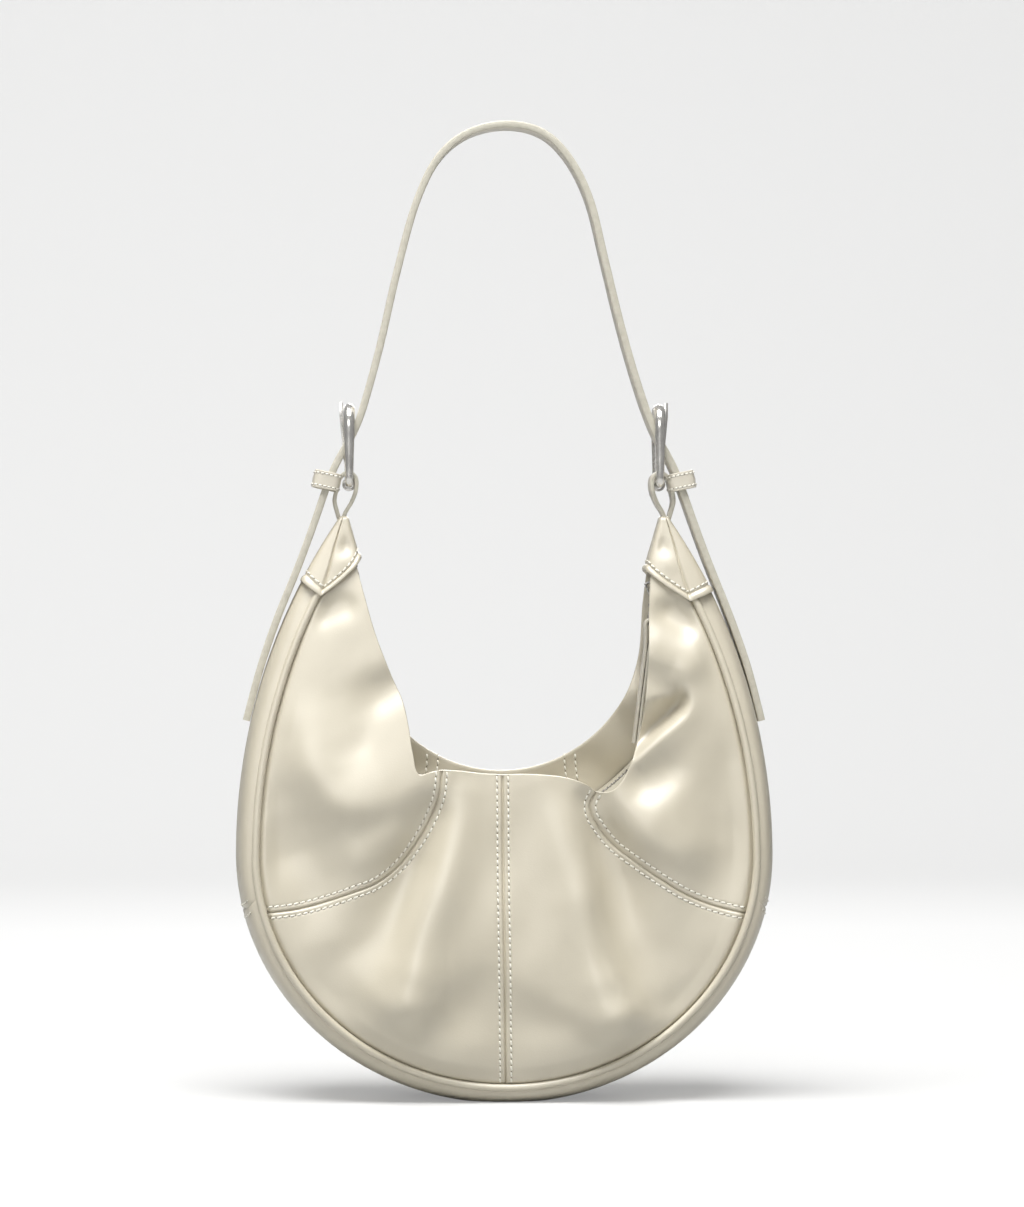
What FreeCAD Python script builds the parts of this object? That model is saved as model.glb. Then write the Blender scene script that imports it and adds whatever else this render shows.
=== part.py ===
"""Half moon shoulder bag: leather crescent body, recessed zip, buckled strap.

Millimetres. X runs to the right of the bag's front, Y to its back, Z up; the bag stands on Z = 0.
"""
import FreeCAD
import Part
import math
import os

# Crescent body, seen from the front
half_width = 154.7
widest_height = 142.0
rest_flat_depth = 1.6
side_arc_radius = 345.0
cap_top_height = 336.0
horn_top_drop = 9.5

# Mouth between the horns, as the width of a horn at three heights below its top
mouth_centre_drop = 66.0
mouth_corner_drop = 28.0
horn_width = 48.0
horn_corner_width = 27.6
horn_tip_width = 3.0

# Body seen from the side: one bulging arc from the floor to the horn tips
base_half_depth = 40.0
middle_half_depth = 35.0
middle_height = 150.0
horn_half_depth = 6.5

# Swell of each lower front panel, round a place beside the centre seam
swell_half = 55.0
swell_centre_height = 79.0
swell_radius = 50.0
swell_rise = 9.0

# Leather, lining and seams
leather = 1.8
facing_thickness = 1.2
facing_reach = 46.0
lining_thickness = 0.8
layer_gap = 0.25
seam_gap = 0.5
panel_inset = 10.8
curved_seam_half = 40.0
curved_seam_rim_rise = 1.0
curved_seam_end_inset = 12.7
curved_seam_end_height = 107.0

# Gusset and piping
gusset_wall = 2.0
gusset_flange = 15.0
gusset_seam_height = 110.0
piping_width = 4.4
piping_proud = 2.2

# Horn caps
cap_wall = 1.4
cap_inner_drop = 32.0
cap_point_drop = 48.0
cap_point_inset = 13.3
cap_outer_drop = 42.0

# Zip
zip_recess = 30.0
zip_side_gap = 3.1
zip_end_rise = 2.5
tape_thickness = 0.8
tooth_height = 2.4
tooth_length = 2.2
tooth_pitch = 6.0
tooth_reach = 3.2
chain_half_gap = 0.8
stop_length = 3.0
stop_half_width = 4.4

# Zip slider
slider_end_gap = 9.6
slider_half_length = 5.5
slider_nose_half = 3.4
slider_half_width = 5.2
slider_plate = 1.5
slider_clearance = 0.3
slider_post_length = 3.0
arch_height = 6.0
arch_half_length = 4.4
arch_half_width = 1.1
arch_wire = 1.4

# Zip pull
ring_radius = 4.3
ring_wire_radius = 0.9
clip_eye_radius = 2.2
clip_eye_bore = 1.3
clip_eye_half_width = 1.5
clip_length = 12.0
clip_half_width = 7.6
clip_thickness = 2.4
clip_bar = 2.0
clip_window = 4.6
pull_leather = 1.4
pull_half_width = 6.0
pull_length = 70.0

# Buckle frames and prongs
bar_rise = 20.0
bar_offset = 3.4
bar_radius = 2.35
frame_height = 48.5
frame_half_width = 16.0
frame_rail = 4.4
frame_head = 6.4
frame_head_thickness = 6.4
frame_foot_thickness = 4.7
frame_corner = 12.0
prong_half_width = 1.5
prong_thickness = 2.0
prong_eye_wall = 1.5
prong_running_gap = 0.06
prong_overreach = 1.5
prong_lift_angle = 12.0
part_gap = 0.3

# Strap, buckle tabs and keepers
strap_thickness = 4.2
strap_half_width = 10.0
strap_rise = 231.6
crown_share = 0.532
crossing_slope = 30.0
crossing_height_share = 0.6
strap_step_out = 8.8
strap_bend_radius = 22.0
tail_drop = 117.5
tail_gap = 0.6
tail_bend_share = 0.9
spare_hole_radius = 1.7
spare_hole_spacing = 22.0
spare_hole_count = 1
tab_leather = 2.5
tab_half_width = 9.0
tab_neck_radius = 5.0
tab_neck_half = 2.6
tab_waist_rise = 14.5
tab_shoulder_rise = 19.5
keeper_height = 11.0
keeper_wall = 1.5
keeper_rise = 21.5

# How far cutting shapes run past what they cut
overrun = 20.0

half_span = half_width + overrun
half_deep = base_half_depth + swell_rise + overrun
horn_top = cap_top_height - horn_top_drop
inner_face = leather + layer_gap + facing_thickness + layer_gap


def outer_half(height, inset=0):
    """Half width of the crescent above its widest line."""
    radius = side_arc_radius - inset
    return half_width - side_arc_radius + math.sqrt(radius ** 2 - (height - widest_height) ** 2)


mouth_centre_height = cap_top_height - mouth_centre_drop
mouth_corner_height = cap_top_height - mouth_corner_drop
mouth_radius = outer_half(mouth_centre_height) - horn_width
mouth_corner_half = outer_half(mouth_corner_height) - horn_corner_width
mouth_tip_half = outer_half(cap_top_height) - horn_tip_width
cap_inner_height = cap_top_height - cap_inner_drop
cap_point_height = cap_top_height - cap_point_drop
cap_outer_height = cap_top_height - cap_outer_drop
tail_end_height = cap_top_height - tail_drop


def mouth_half_at(height):
    """Half width of the mouth between its round bottom and its upper corners."""
    share = (height - mouth_centre_height) / (mouth_corner_height - mouth_centre_height)
    return mouth_radius + (mouth_corner_half - mouth_radius) * share


# The zip's arc runs below the mouth, and just inside the horns' edges at its ends
zip_floor = mouth_centre_height - mouth_radius - zip_recess
zip_end_height = cap_inner_height + zip_end_rise
zip_end_half = mouth_half_at(zip_end_height) + zip_side_gap
zip_span = zip_end_height - zip_floor
zip_radius = (zip_end_half ** 2 + zip_span ** 2) / (2 * zip_span)
zip_centre_height = zip_floor + zip_radius
zip_end_angle = math.degrees(math.asin((zip_end_height - zip_centre_height) / zip_radius))
slider_angle = zip_end_angle - math.degrees(slider_end_gap / zip_radius)


def at(point, y=0):
    return FreeCAD.Vector(point[0], y, point[1])


def line(start, end):
    return Part.makeLine(at(start), at(end))


def arc(start, middle, end):
    return Part.Arc(at(start), at(middle), at(end)).toShape()


def quarter_round(start, corner, end):
    """Two tangent arcs that turn a corner, like a quarter of an oval."""
    wide = math.hypot(corner[0] - start[0], corner[1] - start[1])
    tall = math.hypot(end[0] - corner[0], end[1] - corner[1])
    both = wide + tall
    reach = (math.sqrt(both ** 2 + 2 * (wide ** 2 + tall ** 2)) - both) / 2
    inward = direction(start, corner)
    outward = direction(corner, end)
    first = (start[0] + inward[0] * reach, start[1] + inward[1] * reach)
    last = (end[0] - outward[0] * reach, end[1] - outward[1] * reach)
    joint = ((first[0] + last[0]) / 2, (first[1] + last[1]) / 2)
    return [tangent_arc(start, first, joint), tangent_arc(joint, last, end)]


def polygon(points):
    return [line(start, end) for start, end in zip(points, points[1:] + points[:1])]


def prism(edges, half_depth):
    """Solid across Y from a closed outline drawn in X and Z."""
    face = Part.Face(Part.Wire(edges))
    face.translate(FreeCAD.Vector(0, -half_depth, 0))
    return face.extrude(FreeCAD.Vector(0, half_depth + half_depth, 0))


def box(low, high):
    size = [top - bottom for bottom, top in zip(low, high)]
    return Part.makeBox(*size, FreeCAD.Vector(*low))


def rod(start, end, radius):
    axis = end - start
    return Part.makeCylinder(radius, axis.Length, start, axis)


def turned(shape, centre, degrees):
    """Copy turned about Y; positive turns the top towards +X."""
    copy = shape.copy()
    copy.rotate(at(centre), FreeCAD.Vector(0, 1, 0), degrees)
    return copy


def mirrored(shape):
    return shape.mirror(FreeCAD.Vector(0, 0, 0), FreeCAD.Vector(1, 0, 0))


def direction(start, end):
    span = math.hypot(end[0] - start[0], end[1] - start[1])
    return (end[0] - start[0]) / span, (end[1] - start[1]) / span


def tangent_arc(start, corner, end):
    """Arc between two points at the same distance from the corner of their tangents."""
    inward = direction(start, corner)
    outward = direction(corner, end)
    half_turn = math.acos(inward[0] * outward[0] + inward[1] * outward[1]) / 2
    setback = math.hypot(corner[0] - start[0], corner[1] - start[1])
    radius = setback / math.tan(half_turn)
    depth = radius / math.cos(half_turn) - radius
    bend = direction(inward, outward)
    middle = (corner[0] + bend[0] * depth, corner[1] + bend[1] * depth)
    return arc(start, middle, end)


def rounded_edges(points, radii):
    """Straight runs through the points, with an arc of the given radius at each inner point."""
    edges = []
    last = points[0]
    for before, corner, after, radius in zip(points, points[1:], points[2:], radii):
        inward = direction(before, corner)
        outward = direction(corner, after)
        cosine = inward[0] * outward[0] + inward[1] * outward[1]
        half_turn = math.acos(cosine) / 2
        setback = radius * math.tan(half_turn)
        start = (corner[0] - inward[0] * setback, corner[1] - inward[1] * setback)
        end = (corner[0] + outward[0] * setback, corner[1] + outward[1] * setback)
        edges += [line(last, start), tangent_arc(start, corner, end)]
        last = end
    return edges + [line(last, points[-1])]


def shifted(points, distance):
    """The same runs moved to their left by the distance, with mitred corners."""
    runs = [direction(start, end) for start, end in zip(points, points[1:])]
    normals = [(-run[1], run[0]) for run in runs]
    before = normals[:1] + normals
    after = normals + normals[-1:]
    moved = []
    for point, first, second in zip(points, before, after):
        spread = 1 + first[0] * second[0] + first[1] * second[1]
        moved.append(tuple(point[i] + distance * (first[i] + second[i]) / spread for i in (0, 1)))
    return moved


def ribbon(points, radii, thickness, half_depth):
    """Flat strap bent along the points, seen edge-on."""
    turns = []
    for before, corner, after in zip(points, points[1:], points[2:]):
        inward = direction(before, corner)
        outward = direction(corner, after)
        turns.append(math.copysign(1, inward[0] * outward[1] - inward[1] * outward[0]))
    sides = []
    for offset in (thickness / 2, -thickness / 2):
        side_radii = [radius - turn * offset for radius, turn in zip(radii, turns)]
        sides.append((shifted(points, offset), side_radii))
    left = rounded_edges(*sides[0])
    right = rounded_edges(*sides[1])
    ends = [line(sides[0][0][i], sides[1][0][i]) for i in (0, -1)]
    outline = Part.sortEdges(left + right + ends)[0]
    return prism(outline, half_depth)


def rounded_frame(half, low, high, radius):
    """Closed outline of an upright rectangle with round corners."""
    points = [(0, low), (half, low), (half, high), (-half, high), (-half, low), (0, low)]
    return rounded_edges(points, [radius] * 4)


def across(shape):
    """Quarter turn about Z, which lays an outline in X and Z into Y and Z."""
    copy = shape.copy()
    copy.rotate(FreeCAD.Vector(0, 0, 0), FreeCAD.Vector(0, 0, 1), 90)
    return copy


def one_solid(shape):
    return shape.removeSplitter().Solids[0]


def side_circle():
    """Centre and radius of the arc that the front and back follow, in Y and Z."""
    (y1, z1), (y2, z2), (y3, z3) = (
        (base_half_depth, 0),
        (middle_half_depth, middle_height),
        (horn_half_depth, cap_top_height),
    )
    cross = 2 * (y1 * (z2 - z3) + y2 * (z3 - z1) + y3 * (z1 - z2))
    squares = (y1 * y1 + z1 * z1, y2 * y2 + z2 * z2, y3 * y3 + z3 * z3)
    centre_y = (squares[0] * (z2 - z3) + squares[1] * (z3 - z1) + squares[2] * (z1 - z2)) / cross
    centre_z = (squares[0] * (y3 - y2) + squares[1] * (y1 - y3) + squares[2] * (y2 - y1)) / cross
    return centre_y, centre_z, math.hypot(y1 - centre_y, z1 - centre_z)


def half_depth_at(height, inset=0):
    centre_y, centre_z, radius = side_circle()
    return centre_y + math.sqrt((radius - inset) ** 2 - (height - centre_z) ** 2)


def side_arc(side, inset):
    """Arc of the front or back face, as points in Y and Z from the floor up."""
    heights = (-overrun, middle_height, cap_top_height)
    return [(side * half_depth_at(height, inset), height) for height in heights]


def along_x(edges):
    """Solid along X from a closed outline drawn in Y and Z."""
    return across(prism(edges, half_span))


def layer(side, outer, inner):
    """Curved sheet between two depths below the front (-1) or back (1) face."""
    skin = side_arc(side, outer)
    backing = side_arc(side, inner)
    edges = [arc(*skin), line(skin[2], backing[2]), arc(*backing), line(backing[0], skin[0])]
    return along_x(Part.sortEdges(edges)[0])


def slab(inset):
    """Everything between the front and back faces, less the inset."""
    front = side_arc(-1, inset)
    back = side_arc(1, inset)
    edges = [arc(*front), line(front[2], back[2]), arc(*back), line(back[0], front[0])]
    return along_x(Part.sortEdges(edges)[0])


def crescent_outline(inset, top):
    """Outer edge of the body, closed straight across the top."""
    half = half_width - inset
    bottom = inset - rest_flat_depth
    shoulder = outer_half((widest_height + top) / 2, inset)
    corner = outer_half(top, inset)
    middle = (widest_height + top) / 2
    right = quarter_round((0, bottom), (half, bottom), (half, widest_height))
    left = quarter_round((-half, widest_height), (-half, bottom), (0, bottom))
    sides = [
        arc((half, widest_height), (shoulder, middle), (corner, top)),
        line((corner, top), (-corner, top)),
        arc((-corner, top), (-shoulder, middle), (-half, widest_height)),
    ]
    return prism(right + sides + left, half_deep)


def mouth(grow):
    """Space between the horns, grown by the given margin."""
    radius = mouth_radius + grow
    corner = (mouth_corner_half + grow, mouth_corner_height)
    tip = (mouth_tip_half + grow, cap_top_height)
    above = (mouth_tip_half + grow, cap_top_height + overrun)
    right = [(radius, mouth_centre_height), corner, tip, above]
    left = [(-x, z) for x, z in reversed(right)]
    bottom = (0, mouth_centre_height - radius)
    edges = [arc(left[-1], bottom, right[0])]
    runs = right + left
    edges += [line(start, end) for start, end in zip(runs, runs[1:])]
    return prism(edges, half_deep)


def crescent(inset, top):
    return crescent_outline(inset, top).cut(mouth(0))


def cap_region(margin):
    """Part of both horns that the caps cover, above their pointed lower edges."""
    top = cap_top_height + overrun
    points = [
        (mouth_corner_half - overrun, cap_inner_height + margin),
        (mouth_corner_half, cap_inner_height + margin),
        (outer_half(cap_point_height) - cap_point_inset, cap_point_height + margin),
        (outer_half(cap_outer_height), cap_outer_height + margin),
        (half_span, cap_outer_height + margin),
        (half_span, top),
        (mouth_corner_half - overrun, top),
    ]
    right = prism(polygon(points), half_deep)
    return right, mirrored(right)


def horn_region(margin):
    """Right-hand leather above the curved seam, shrunk by the margin."""
    rim_height = mouth_centre_height - mouth_radius + curved_seam_rim_rise
    start = (half_width - curved_seam_end_inset, curved_seam_end_height + margin)
    end = (curved_seam_half + margin, rim_height)
    corner = (curved_seam_half + margin, curved_seam_end_height + margin)
    top = cap_top_height + overrun
    sides = [end, (end[0], top), (half_span, top), (half_span, start[1]), start]
    runs = [line(first, second) for first, second in zip(sides, sides[1:])]
    return prism(quarter_round(start, corner, end) + runs, half_deep)


def right_half(margin):
    return box((margin, -half_deep, -overrun), (half_span, half_deep, cap_top_height + overrun))


def swell(side, inset):
    """Cap of a ball that stands out of the right-hand lower panel, less the inset."""
    centre_y, centre_z, radius = side_circle()
    depth = half_depth_at(swell_centre_height)
    ball_radius = (swell_radius ** 2 + swell_rise ** 2) / (2 * swell_rise)
    reach = (radius + swell_rise - ball_radius) / radius
    y = centre_y + (depth - centre_y) * reach
    z = centre_z + (swell_centre_height - centre_z) * reach
    ball = Part.makeSphere(ball_radius - inset, FreeCAD.Vector(swell_half, side * y, z))
    return ball.common(layer(side, -overrun, inset))


def panels(side):
    """Four leather pieces of the front or back; the back lies flatter, against the wearer."""
    sheet = layer(side, 0, leather)
    outline = crescent(panel_inset, horn_top)
    upper = one_solid(sheet.common(outline).common(horn_region(seam_gap / 2)))
    if side < 0:
        sheet = sheet.fuse(swell(side, 0)).cut(swell(side, leather))
    lower = sheet.common(outline).cut(horn_region(-seam_gap / 2))
    lower = one_solid(lower.common(right_half(seam_gap / 2)))
    return {
        "upper_right_panel": upper,
        "upper_left_panel": mirrored(upper),
        "lower_right_panel": lower,
        "lower_left_panel": mirrored(lower),
    }


def gusset():
    """Channel between front and back, cut flat where it stands, with a cross seam each side."""
    edge = leather + layer_gap
    outer = crescent_outline(0, horn_top).common(slab(edge))
    hollow = crescent_outline(gusset_wall, horn_top).common(slab(edge + gusset_wall))
    channel = outer.cut(hollow).cut(crescent_outline(gusset_flange, horn_top + overrun)).cut(mouth(0))
    floor = box((-half_span, -half_deep, -overrun), (half_span, half_deep, 0))
    channel = channel.cut(floor)
    low_seam = gusset_seam_height - seam_gap / 2
    high_seam = gusset_seam_height + seam_gap / 2
    below = box((-half_span, -half_deep, 0), (half_span, half_deep, low_seam))
    above = box((0, -half_deep, high_seam), (half_span, half_deep, cap_top_height))
    right = one_solid(channel.common(above))
    return {
        "gusset_base": one_solid(channel.common(below)),
        "gusset_right": right,
        "gusset_left": mirrored(right),
    }


def piping(side):
    """Edging between a panel and the gusset, ending under the horn caps."""
    inner_edge = panel_inset - layer_gap
    outer_edge = inner_edge - piping_width
    band = crescent_outline(outer_edge, horn_top).cut(crescent_outline(inner_edge, horn_top + overrun))
    band = band.common(layer(side, -piping_proud, leather))
    for region in cap_region(-seam_gap):
        band = band.cut(region)
    return one_solid(band)


def facing(side):
    """Leather turned inside along the mouth, down past the zip."""
    outer = leather + layer_gap
    band = mouth(facing_reach).cut(mouth(0)).common(crescent_outline(gusset_flange + layer_gap, horn_top))
    return one_solid(band.common(layer(side, outer, outer + facing_thickness)))


def lining_wall(side):
    """Lining of the front or back, hung from the facing's lower edge."""
    outer = leather + layer_gap
    sheet = crescent_outline(gusset_flange + layer_gap, horn_top).cut(mouth(facing_reach + layer_gap))
    return one_solid(sheet.common(layer(side, outer, outer + lining_thickness)))


def lining_gusset():
    """Lining strip inside the gusset channel."""
    outer = gusset_wall + layer_gap
    edge = leather + layer_gap + gusset_wall + layer_gap
    inner = crescent_outline(outer + lining_thickness, horn_top + overrun)
    band = crescent_outline(outer, horn_top).cut(inner)
    return one_solid(band.common(slab(edge)))


def horn_cap():
    """Right-hand folded cap: hollow under its pointed lower edge, solid at the tip."""
    shell = crescent_outline(-cap_wall, cap_top_height).common(slab(-cap_wall))
    shell = shell.cut(mouth(-cap_wall))
    inside = crescent_outline(-layer_gap, horn_top + layer_gap).common(slab(-layer_gap))
    inside = inside.cut(mouth(-layer_gap))
    return one_solid(shell.cut(inside).common(cap_region(0)[0]))


def zip_ring(low, high, half_depth):
    """Full ring about the zip's centre line."""
    start = at((0, zip_centre_height), -half_depth)
    end = at((0, zip_centre_height), half_depth)
    return rod(start, end, high).cut(rod(start, end, low))


def zip_tape(side):
    """Tape from the facing to the teeth."""
    tape = zip_ring(zip_radius - tape_thickness / 2, zip_radius + tape_thickness / 2, half_deep)
    tape = tape.common(slab(inner_face))
    near, far = sorted((side * tooth_reach, side * half_deep))
    keep = box((-half_span, near, 0), (half_span, far, zip_end_height))
    return one_solid(tape.common(keep))


def on_zip(shape, degrees):
    """Shape drawn on the zip's right-hand side, carried up the arc by the angle."""
    return turned(shape, (0, zip_centre_height), -degrees)


def zip_teeth(side):
    """Separate teeth along the edge of one tape; the two rows are half a pitch apart."""
    near, far = sorted((side * chain_half_gap, side * tooth_reach))
    low = (zip_radius - tooth_height / 2, near, zip_centre_height - tooth_length / 2)
    high = (zip_radius + tooth_height / 2, far, zip_centre_height + tooth_length / 2)
    tooth = box(low, high)
    step = math.degrees(tooth_pitch / zip_radius)
    sweep = 180 + 2 * zip_end_angle
    count = int(sweep / step) - 1
    first = zip_end_angle - (sweep - count * step) / 2 - side * step / 4
    return Part.makeCompound([on_zip(tooth, first - step * i) for i in range(count)])


def zip_stops():
    """Metal stop across both tapes at each end of the chain."""
    start = zip_centre_height + layer_gap
    low = (zip_radius - tooth_height / 2, -stop_half_width, start)
    high = (zip_radius + tooth_height / 2, stop_half_width, start + stop_length)
    right = on_zip(box(low, high), zip_end_angle)
    return Part.makeCompound([right, mirrored(right)])


def arch_seat_radius():
    """Distance from the zip's centre to the middle of the slider's arch."""
    plate_face = zip_radius - tooth_height / 2 - slider_clearance - slider_plate
    return plate_face - (arch_height - arch_wire) / 2


def zip_slider():
    """Two plates joined by a post through the chain, with an arch for the pull."""
    inner = zip_radius - tooth_height / 2 - slider_clearance
    outer = zip_radius + tooth_height / 2 + slider_clearance
    nose = zip_centre_height + slider_half_length
    tail = zip_centre_height - slider_half_length
    points = [
        (-slider_half_width, nose),
        (-slider_half_width, zip_centre_height),
        (-slider_nose_half, tail),
        (slider_nose_half, tail),
        (slider_half_width, zip_centre_height),
        (slider_half_width, nose),
    ]
    plate = across(prism(polygon(points), slider_plate / 2))
    upper = plate.translated(FreeCAD.Vector(inner - slider_plate / 2, 0, 0))
    lower = plate.translated(FreeCAD.Vector(outer + slider_plate / 2, 0, 0))
    post_half = chain_half_gap - slider_clearance
    post = box((inner, -post_half, nose - slider_post_length), (outer, post_half, nose))
    face = inner - slider_plate
    bottom = zip_centre_height - arch_half_length
    top = zip_centre_height + arch_half_length
    arch = box((face - arch_height, -arch_half_width, bottom), (face, arch_half_width, top))
    opening = box(
        (face - arch_height + arch_wire, -arch_half_width, bottom + arch_wire),
        (face, arch_half_width, top - arch_wire),
    )
    body = upper.fuse([lower, post, arch.cut(opening)])
    return on_zip(one_solid(body), slider_angle)


def pull_pivot():
    """Where the ring's wire hangs on the lower end of the slider's arch."""
    angle = math.radians(slider_angle)
    radius = arch_seat_radius()
    drop = arch_half_length - arch_wire - ring_wire_radius - part_gap
    x = radius * math.cos(angle) + drop * math.sin(angle)
    return x, zip_centre_height + radius * math.sin(angle) - drop * math.cos(angle)


def pull_eye_height():
    """Height of the ring's lowest wire, which carries the clip."""
    return pull_pivot()[1] - 2 * ring_radius


def pull_bar_height():
    return pull_eye_height() - clip_length + clip_bar / 2


def pull_rest_radius():
    """Distance from the zip's centre at which the pull's tip clears the chain and the caps' edges."""
    chain = zip_radius - tooth_height / 2
    cap_edge = math.hypot(mouth_half_at(cap_inner_height) - cap_wall, cap_inner_height - zip_centre_height)
    return min(chain, cap_edge) - pull_leather - part_gap


def pull_lean():
    """Angle from upright at which the pull hangs, with its tip against the chain."""
    x, z = pull_pivot()
    rise = z - zip_centre_height
    hang = math.hypot(x, rise)
    length = z - pull_bar_height() + pull_length
    rest = pull_rest_radius()
    chord_angle = math.acos((hang ** 2 + length ** 2 - rest ** 2) / (2 * hang * length))
    return 90 - math.degrees(math.atan2(rise, x) + chord_angle)


def pull_ring():
    """Flat-sided wire ring through the slider's arch."""
    x, z = pull_pivot()
    corners = []
    for i in range(6):
        angle = math.radians(60 * i)
        corners.append((x + ring_wire_radius * math.cos(angle), z + ring_wire_radius * math.sin(angle)))
    section = Part.Face(Part.Wire(polygon(corners)))
    ring = section.revolve(at((x, z - ring_radius)), FreeCAD.Vector(1, 0, 0), 360)
    return turned(ring, pull_pivot(), pull_lean())


def pull_clip():
    """Metal clip: an eye on the ring, spreading to a window and a bar for the leather."""
    x = pull_pivot()[0]
    eye_height = pull_eye_height()
    bottom = eye_height - clip_length
    outline = [
        (-clip_half_width, bottom),
        (clip_half_width, bottom),
        (clip_half_width, bottom + clip_window + clip_bar),
        (clip_eye_half_width, eye_height),
        (-clip_eye_half_width, eye_height),
        (-clip_half_width, bottom + clip_window + clip_bar),
    ]
    plate = across(prism(polygon(outline), clip_thickness / 2))
    window_half = pull_half_width + part_gap
    window = box(
        (-clip_thickness, -window_half, bottom + clip_bar),
        (clip_thickness, window_half, bottom + clip_bar + clip_window),
    )
    plate = plate.cut(window).translated(FreeCAD.Vector(x, 0, 0))
    start = at((x, eye_height), -clip_eye_half_width)
    end = at((x, eye_height), clip_eye_half_width)
    clear = FreeCAD.Vector(0, overrun, 0)
    clip = plate.fuse(rod(start, end, clip_eye_radius)).cut(rod(start - clear, end + clear, clip_eye_bore))
    swing = box(
        (x - overrun, clip_eye_half_width, eye_height - ring_wire_radius - part_gap),
        (x + overrun, half_deep, eye_height + overrun),
    )
    clip = clip.cut(swing).cut(swing.mirror(FreeCAD.Vector(0, 0, 0), FreeCAD.Vector(0, 1, 0)))
    return turned(one_solid(clip), pull_pivot(), pull_lean())


def loop_outline(centre, radius, foot_half, foot_centre, foot_height):
    """Teardrop: an arc over the top, with straight sides down to a narrow foot."""
    edges = []
    touches = []
    feet = []
    for side in (-1, 1):
        foot = (foot_centre + side * foot_half, foot_height)
        span = math.hypot(foot[0] - centre[0], foot[1] - centre[1])
        heading = math.atan2(foot[1] - centre[1], foot[0] - centre[0])
        touch_angle = heading + side * math.acos(radius / span)
        touch = (
            centre[0] + radius * math.cos(touch_angle),
            centre[1] + radius * math.sin(touch_angle),
        )
        edges.append(line(foot, touch))
        touches.append(touch)
        feet.append(foot)
    edges.append(arc(touches[0], (centre[0], centre[1] + radius), touches[1]))
    edges.append(line(*feet))
    return Part.sortEdges(edges)[0]


def pull_tab():
    """Strip of leather folded over the clip's bar."""
    x = pull_pivot()[0]
    bar = (x, pull_bar_height())
    bore = math.hypot(clip_bar, clip_thickness) / 2 + part_gap / 2
    foot = pull_bar_height() - pull_length
    tab = prism(loop_outline(bar, bore + pull_leather, pull_leather, x, foot), pull_half_width)
    hole = rod(at(bar, -half_deep), at(bar, half_deep), bore)
    return turned(one_solid(tab.cut(hole)), pull_pivot(), pull_lean())


def neck_place():
    """Middle of the flat top of the right-hand cap."""
    outer = outer_half(cap_top_height, -cap_wall)
    return (outer + mouth_tip_half - cap_wall) / 2, cap_top_height


def bar_place():
    neck = neck_place()
    return neck[0] - bar_offset, neck[1] + bar_rise


def frame_foot():
    return bar_place()[1] - bar_radius


def frame_window():
    """Lower and upper edge of the buckle frame's opening."""
    return bar_place()[1] + bar_radius, frame_foot() + frame_height - frame_head


def buckle_frame():
    """Right-hand frame: rounded, thinner towards its foot, with a round bar below."""
    x, z = bar_place()
    foot = frame_foot()
    top = foot + frame_height
    window_low, window_high = frame_window()
    inner_half = frame_half_width - frame_rail
    inner_corner = frame_corner - frame_rail
    body = along_x(rounded_frame(frame_half_width, foot, top, frame_corner))
    hole = along_x(rounded_frame(inner_half, window_low - overrun, window_high, inner_corner))
    taper = [
        (x - frame_foot_thickness / 2, foot),
        (x + frame_foot_thickness / 2, foot),
        (x + frame_head_thickness / 2, top),
        (x - frame_head_thickness / 2, top),
    ]
    body = body.cut(hole).common(prism(polygon(taper), half_deep))
    half_bar = inner_half + frame_rail / 2
    bar = rod(at((x, z), -half_bar), at((x, z), half_bar), bar_radius)
    return one_solid(body.fuse(bar))


def prong_tip():
    """Outer side of the frame's head, where the prong rests."""
    x = bar_place()[0] + frame_head_thickness / 2 + part_gap + prong_thickness / 2
    return x, frame_foot() + frame_height + prong_overreach


def prong():
    """Right-hand prong: an eye on the bar and a shank that lies on the frame's head."""
    pivot = bar_place()
    eye = bar_radius + prong_running_gap + prong_eye_wall
    tip = prong_tip()
    head = (tip[0], frame_window()[1])
    root = (pivot[0] + prong_thickness / 2, pivot[1] + eye - prong_eye_wall / 2)
    shank = ribbon([root, head, tip], [prong_thickness], prong_thickness, prong_half_width)
    start = at(pivot, -prong_half_width)
    end = at(pivot, prong_half_width)
    ring = rod(start, end, eye)
    hole = rod(at(pivot, -half_deep), at(pivot, half_deep), bar_radius + prong_running_gap)
    return one_solid(shank.fuse(ring).cut(hole))


def prong_sweep():
    """Room that the prong needs in strap and tab from rest to fully lifted."""
    pivot = bar_place()
    tip = prong_tip()
    rest = math.degrees(math.atan2(tip[0] - pivot[0], tip[1] - pivot[1]))
    reach = tip[1] - pivot[1]
    margin = math.degrees((prong_thickness + part_gap) / bar_radius / 4)
    points = [pivot]
    for degrees in (rest - margin, rest + prong_lift_angle / 2, rest + prong_lift_angle + margin):
        angle = math.radians(degrees)
        points.append((pivot[0] + reach * math.sin(angle), pivot[1] + reach * math.cos(angle)))
    return prism(polygon(points), prong_half_width + part_gap)


def strap_corners():
    """Right-hand corners of the strap's centre line: leg, step through the frame, tail."""
    x = bar_place()[0]
    low, high = frame_window()
    crossing = low + (high - low) * crossing_height_share
    slope = math.tan(math.radians(crossing_slope))
    step_in = frame_head_thickness / 2 + strap_thickness / 2 + part_gap
    leg = (x - step_in, crossing + step_in / slope)
    step = (x + strap_step_out, crossing - strap_step_out / slope)
    return leg, step


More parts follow.
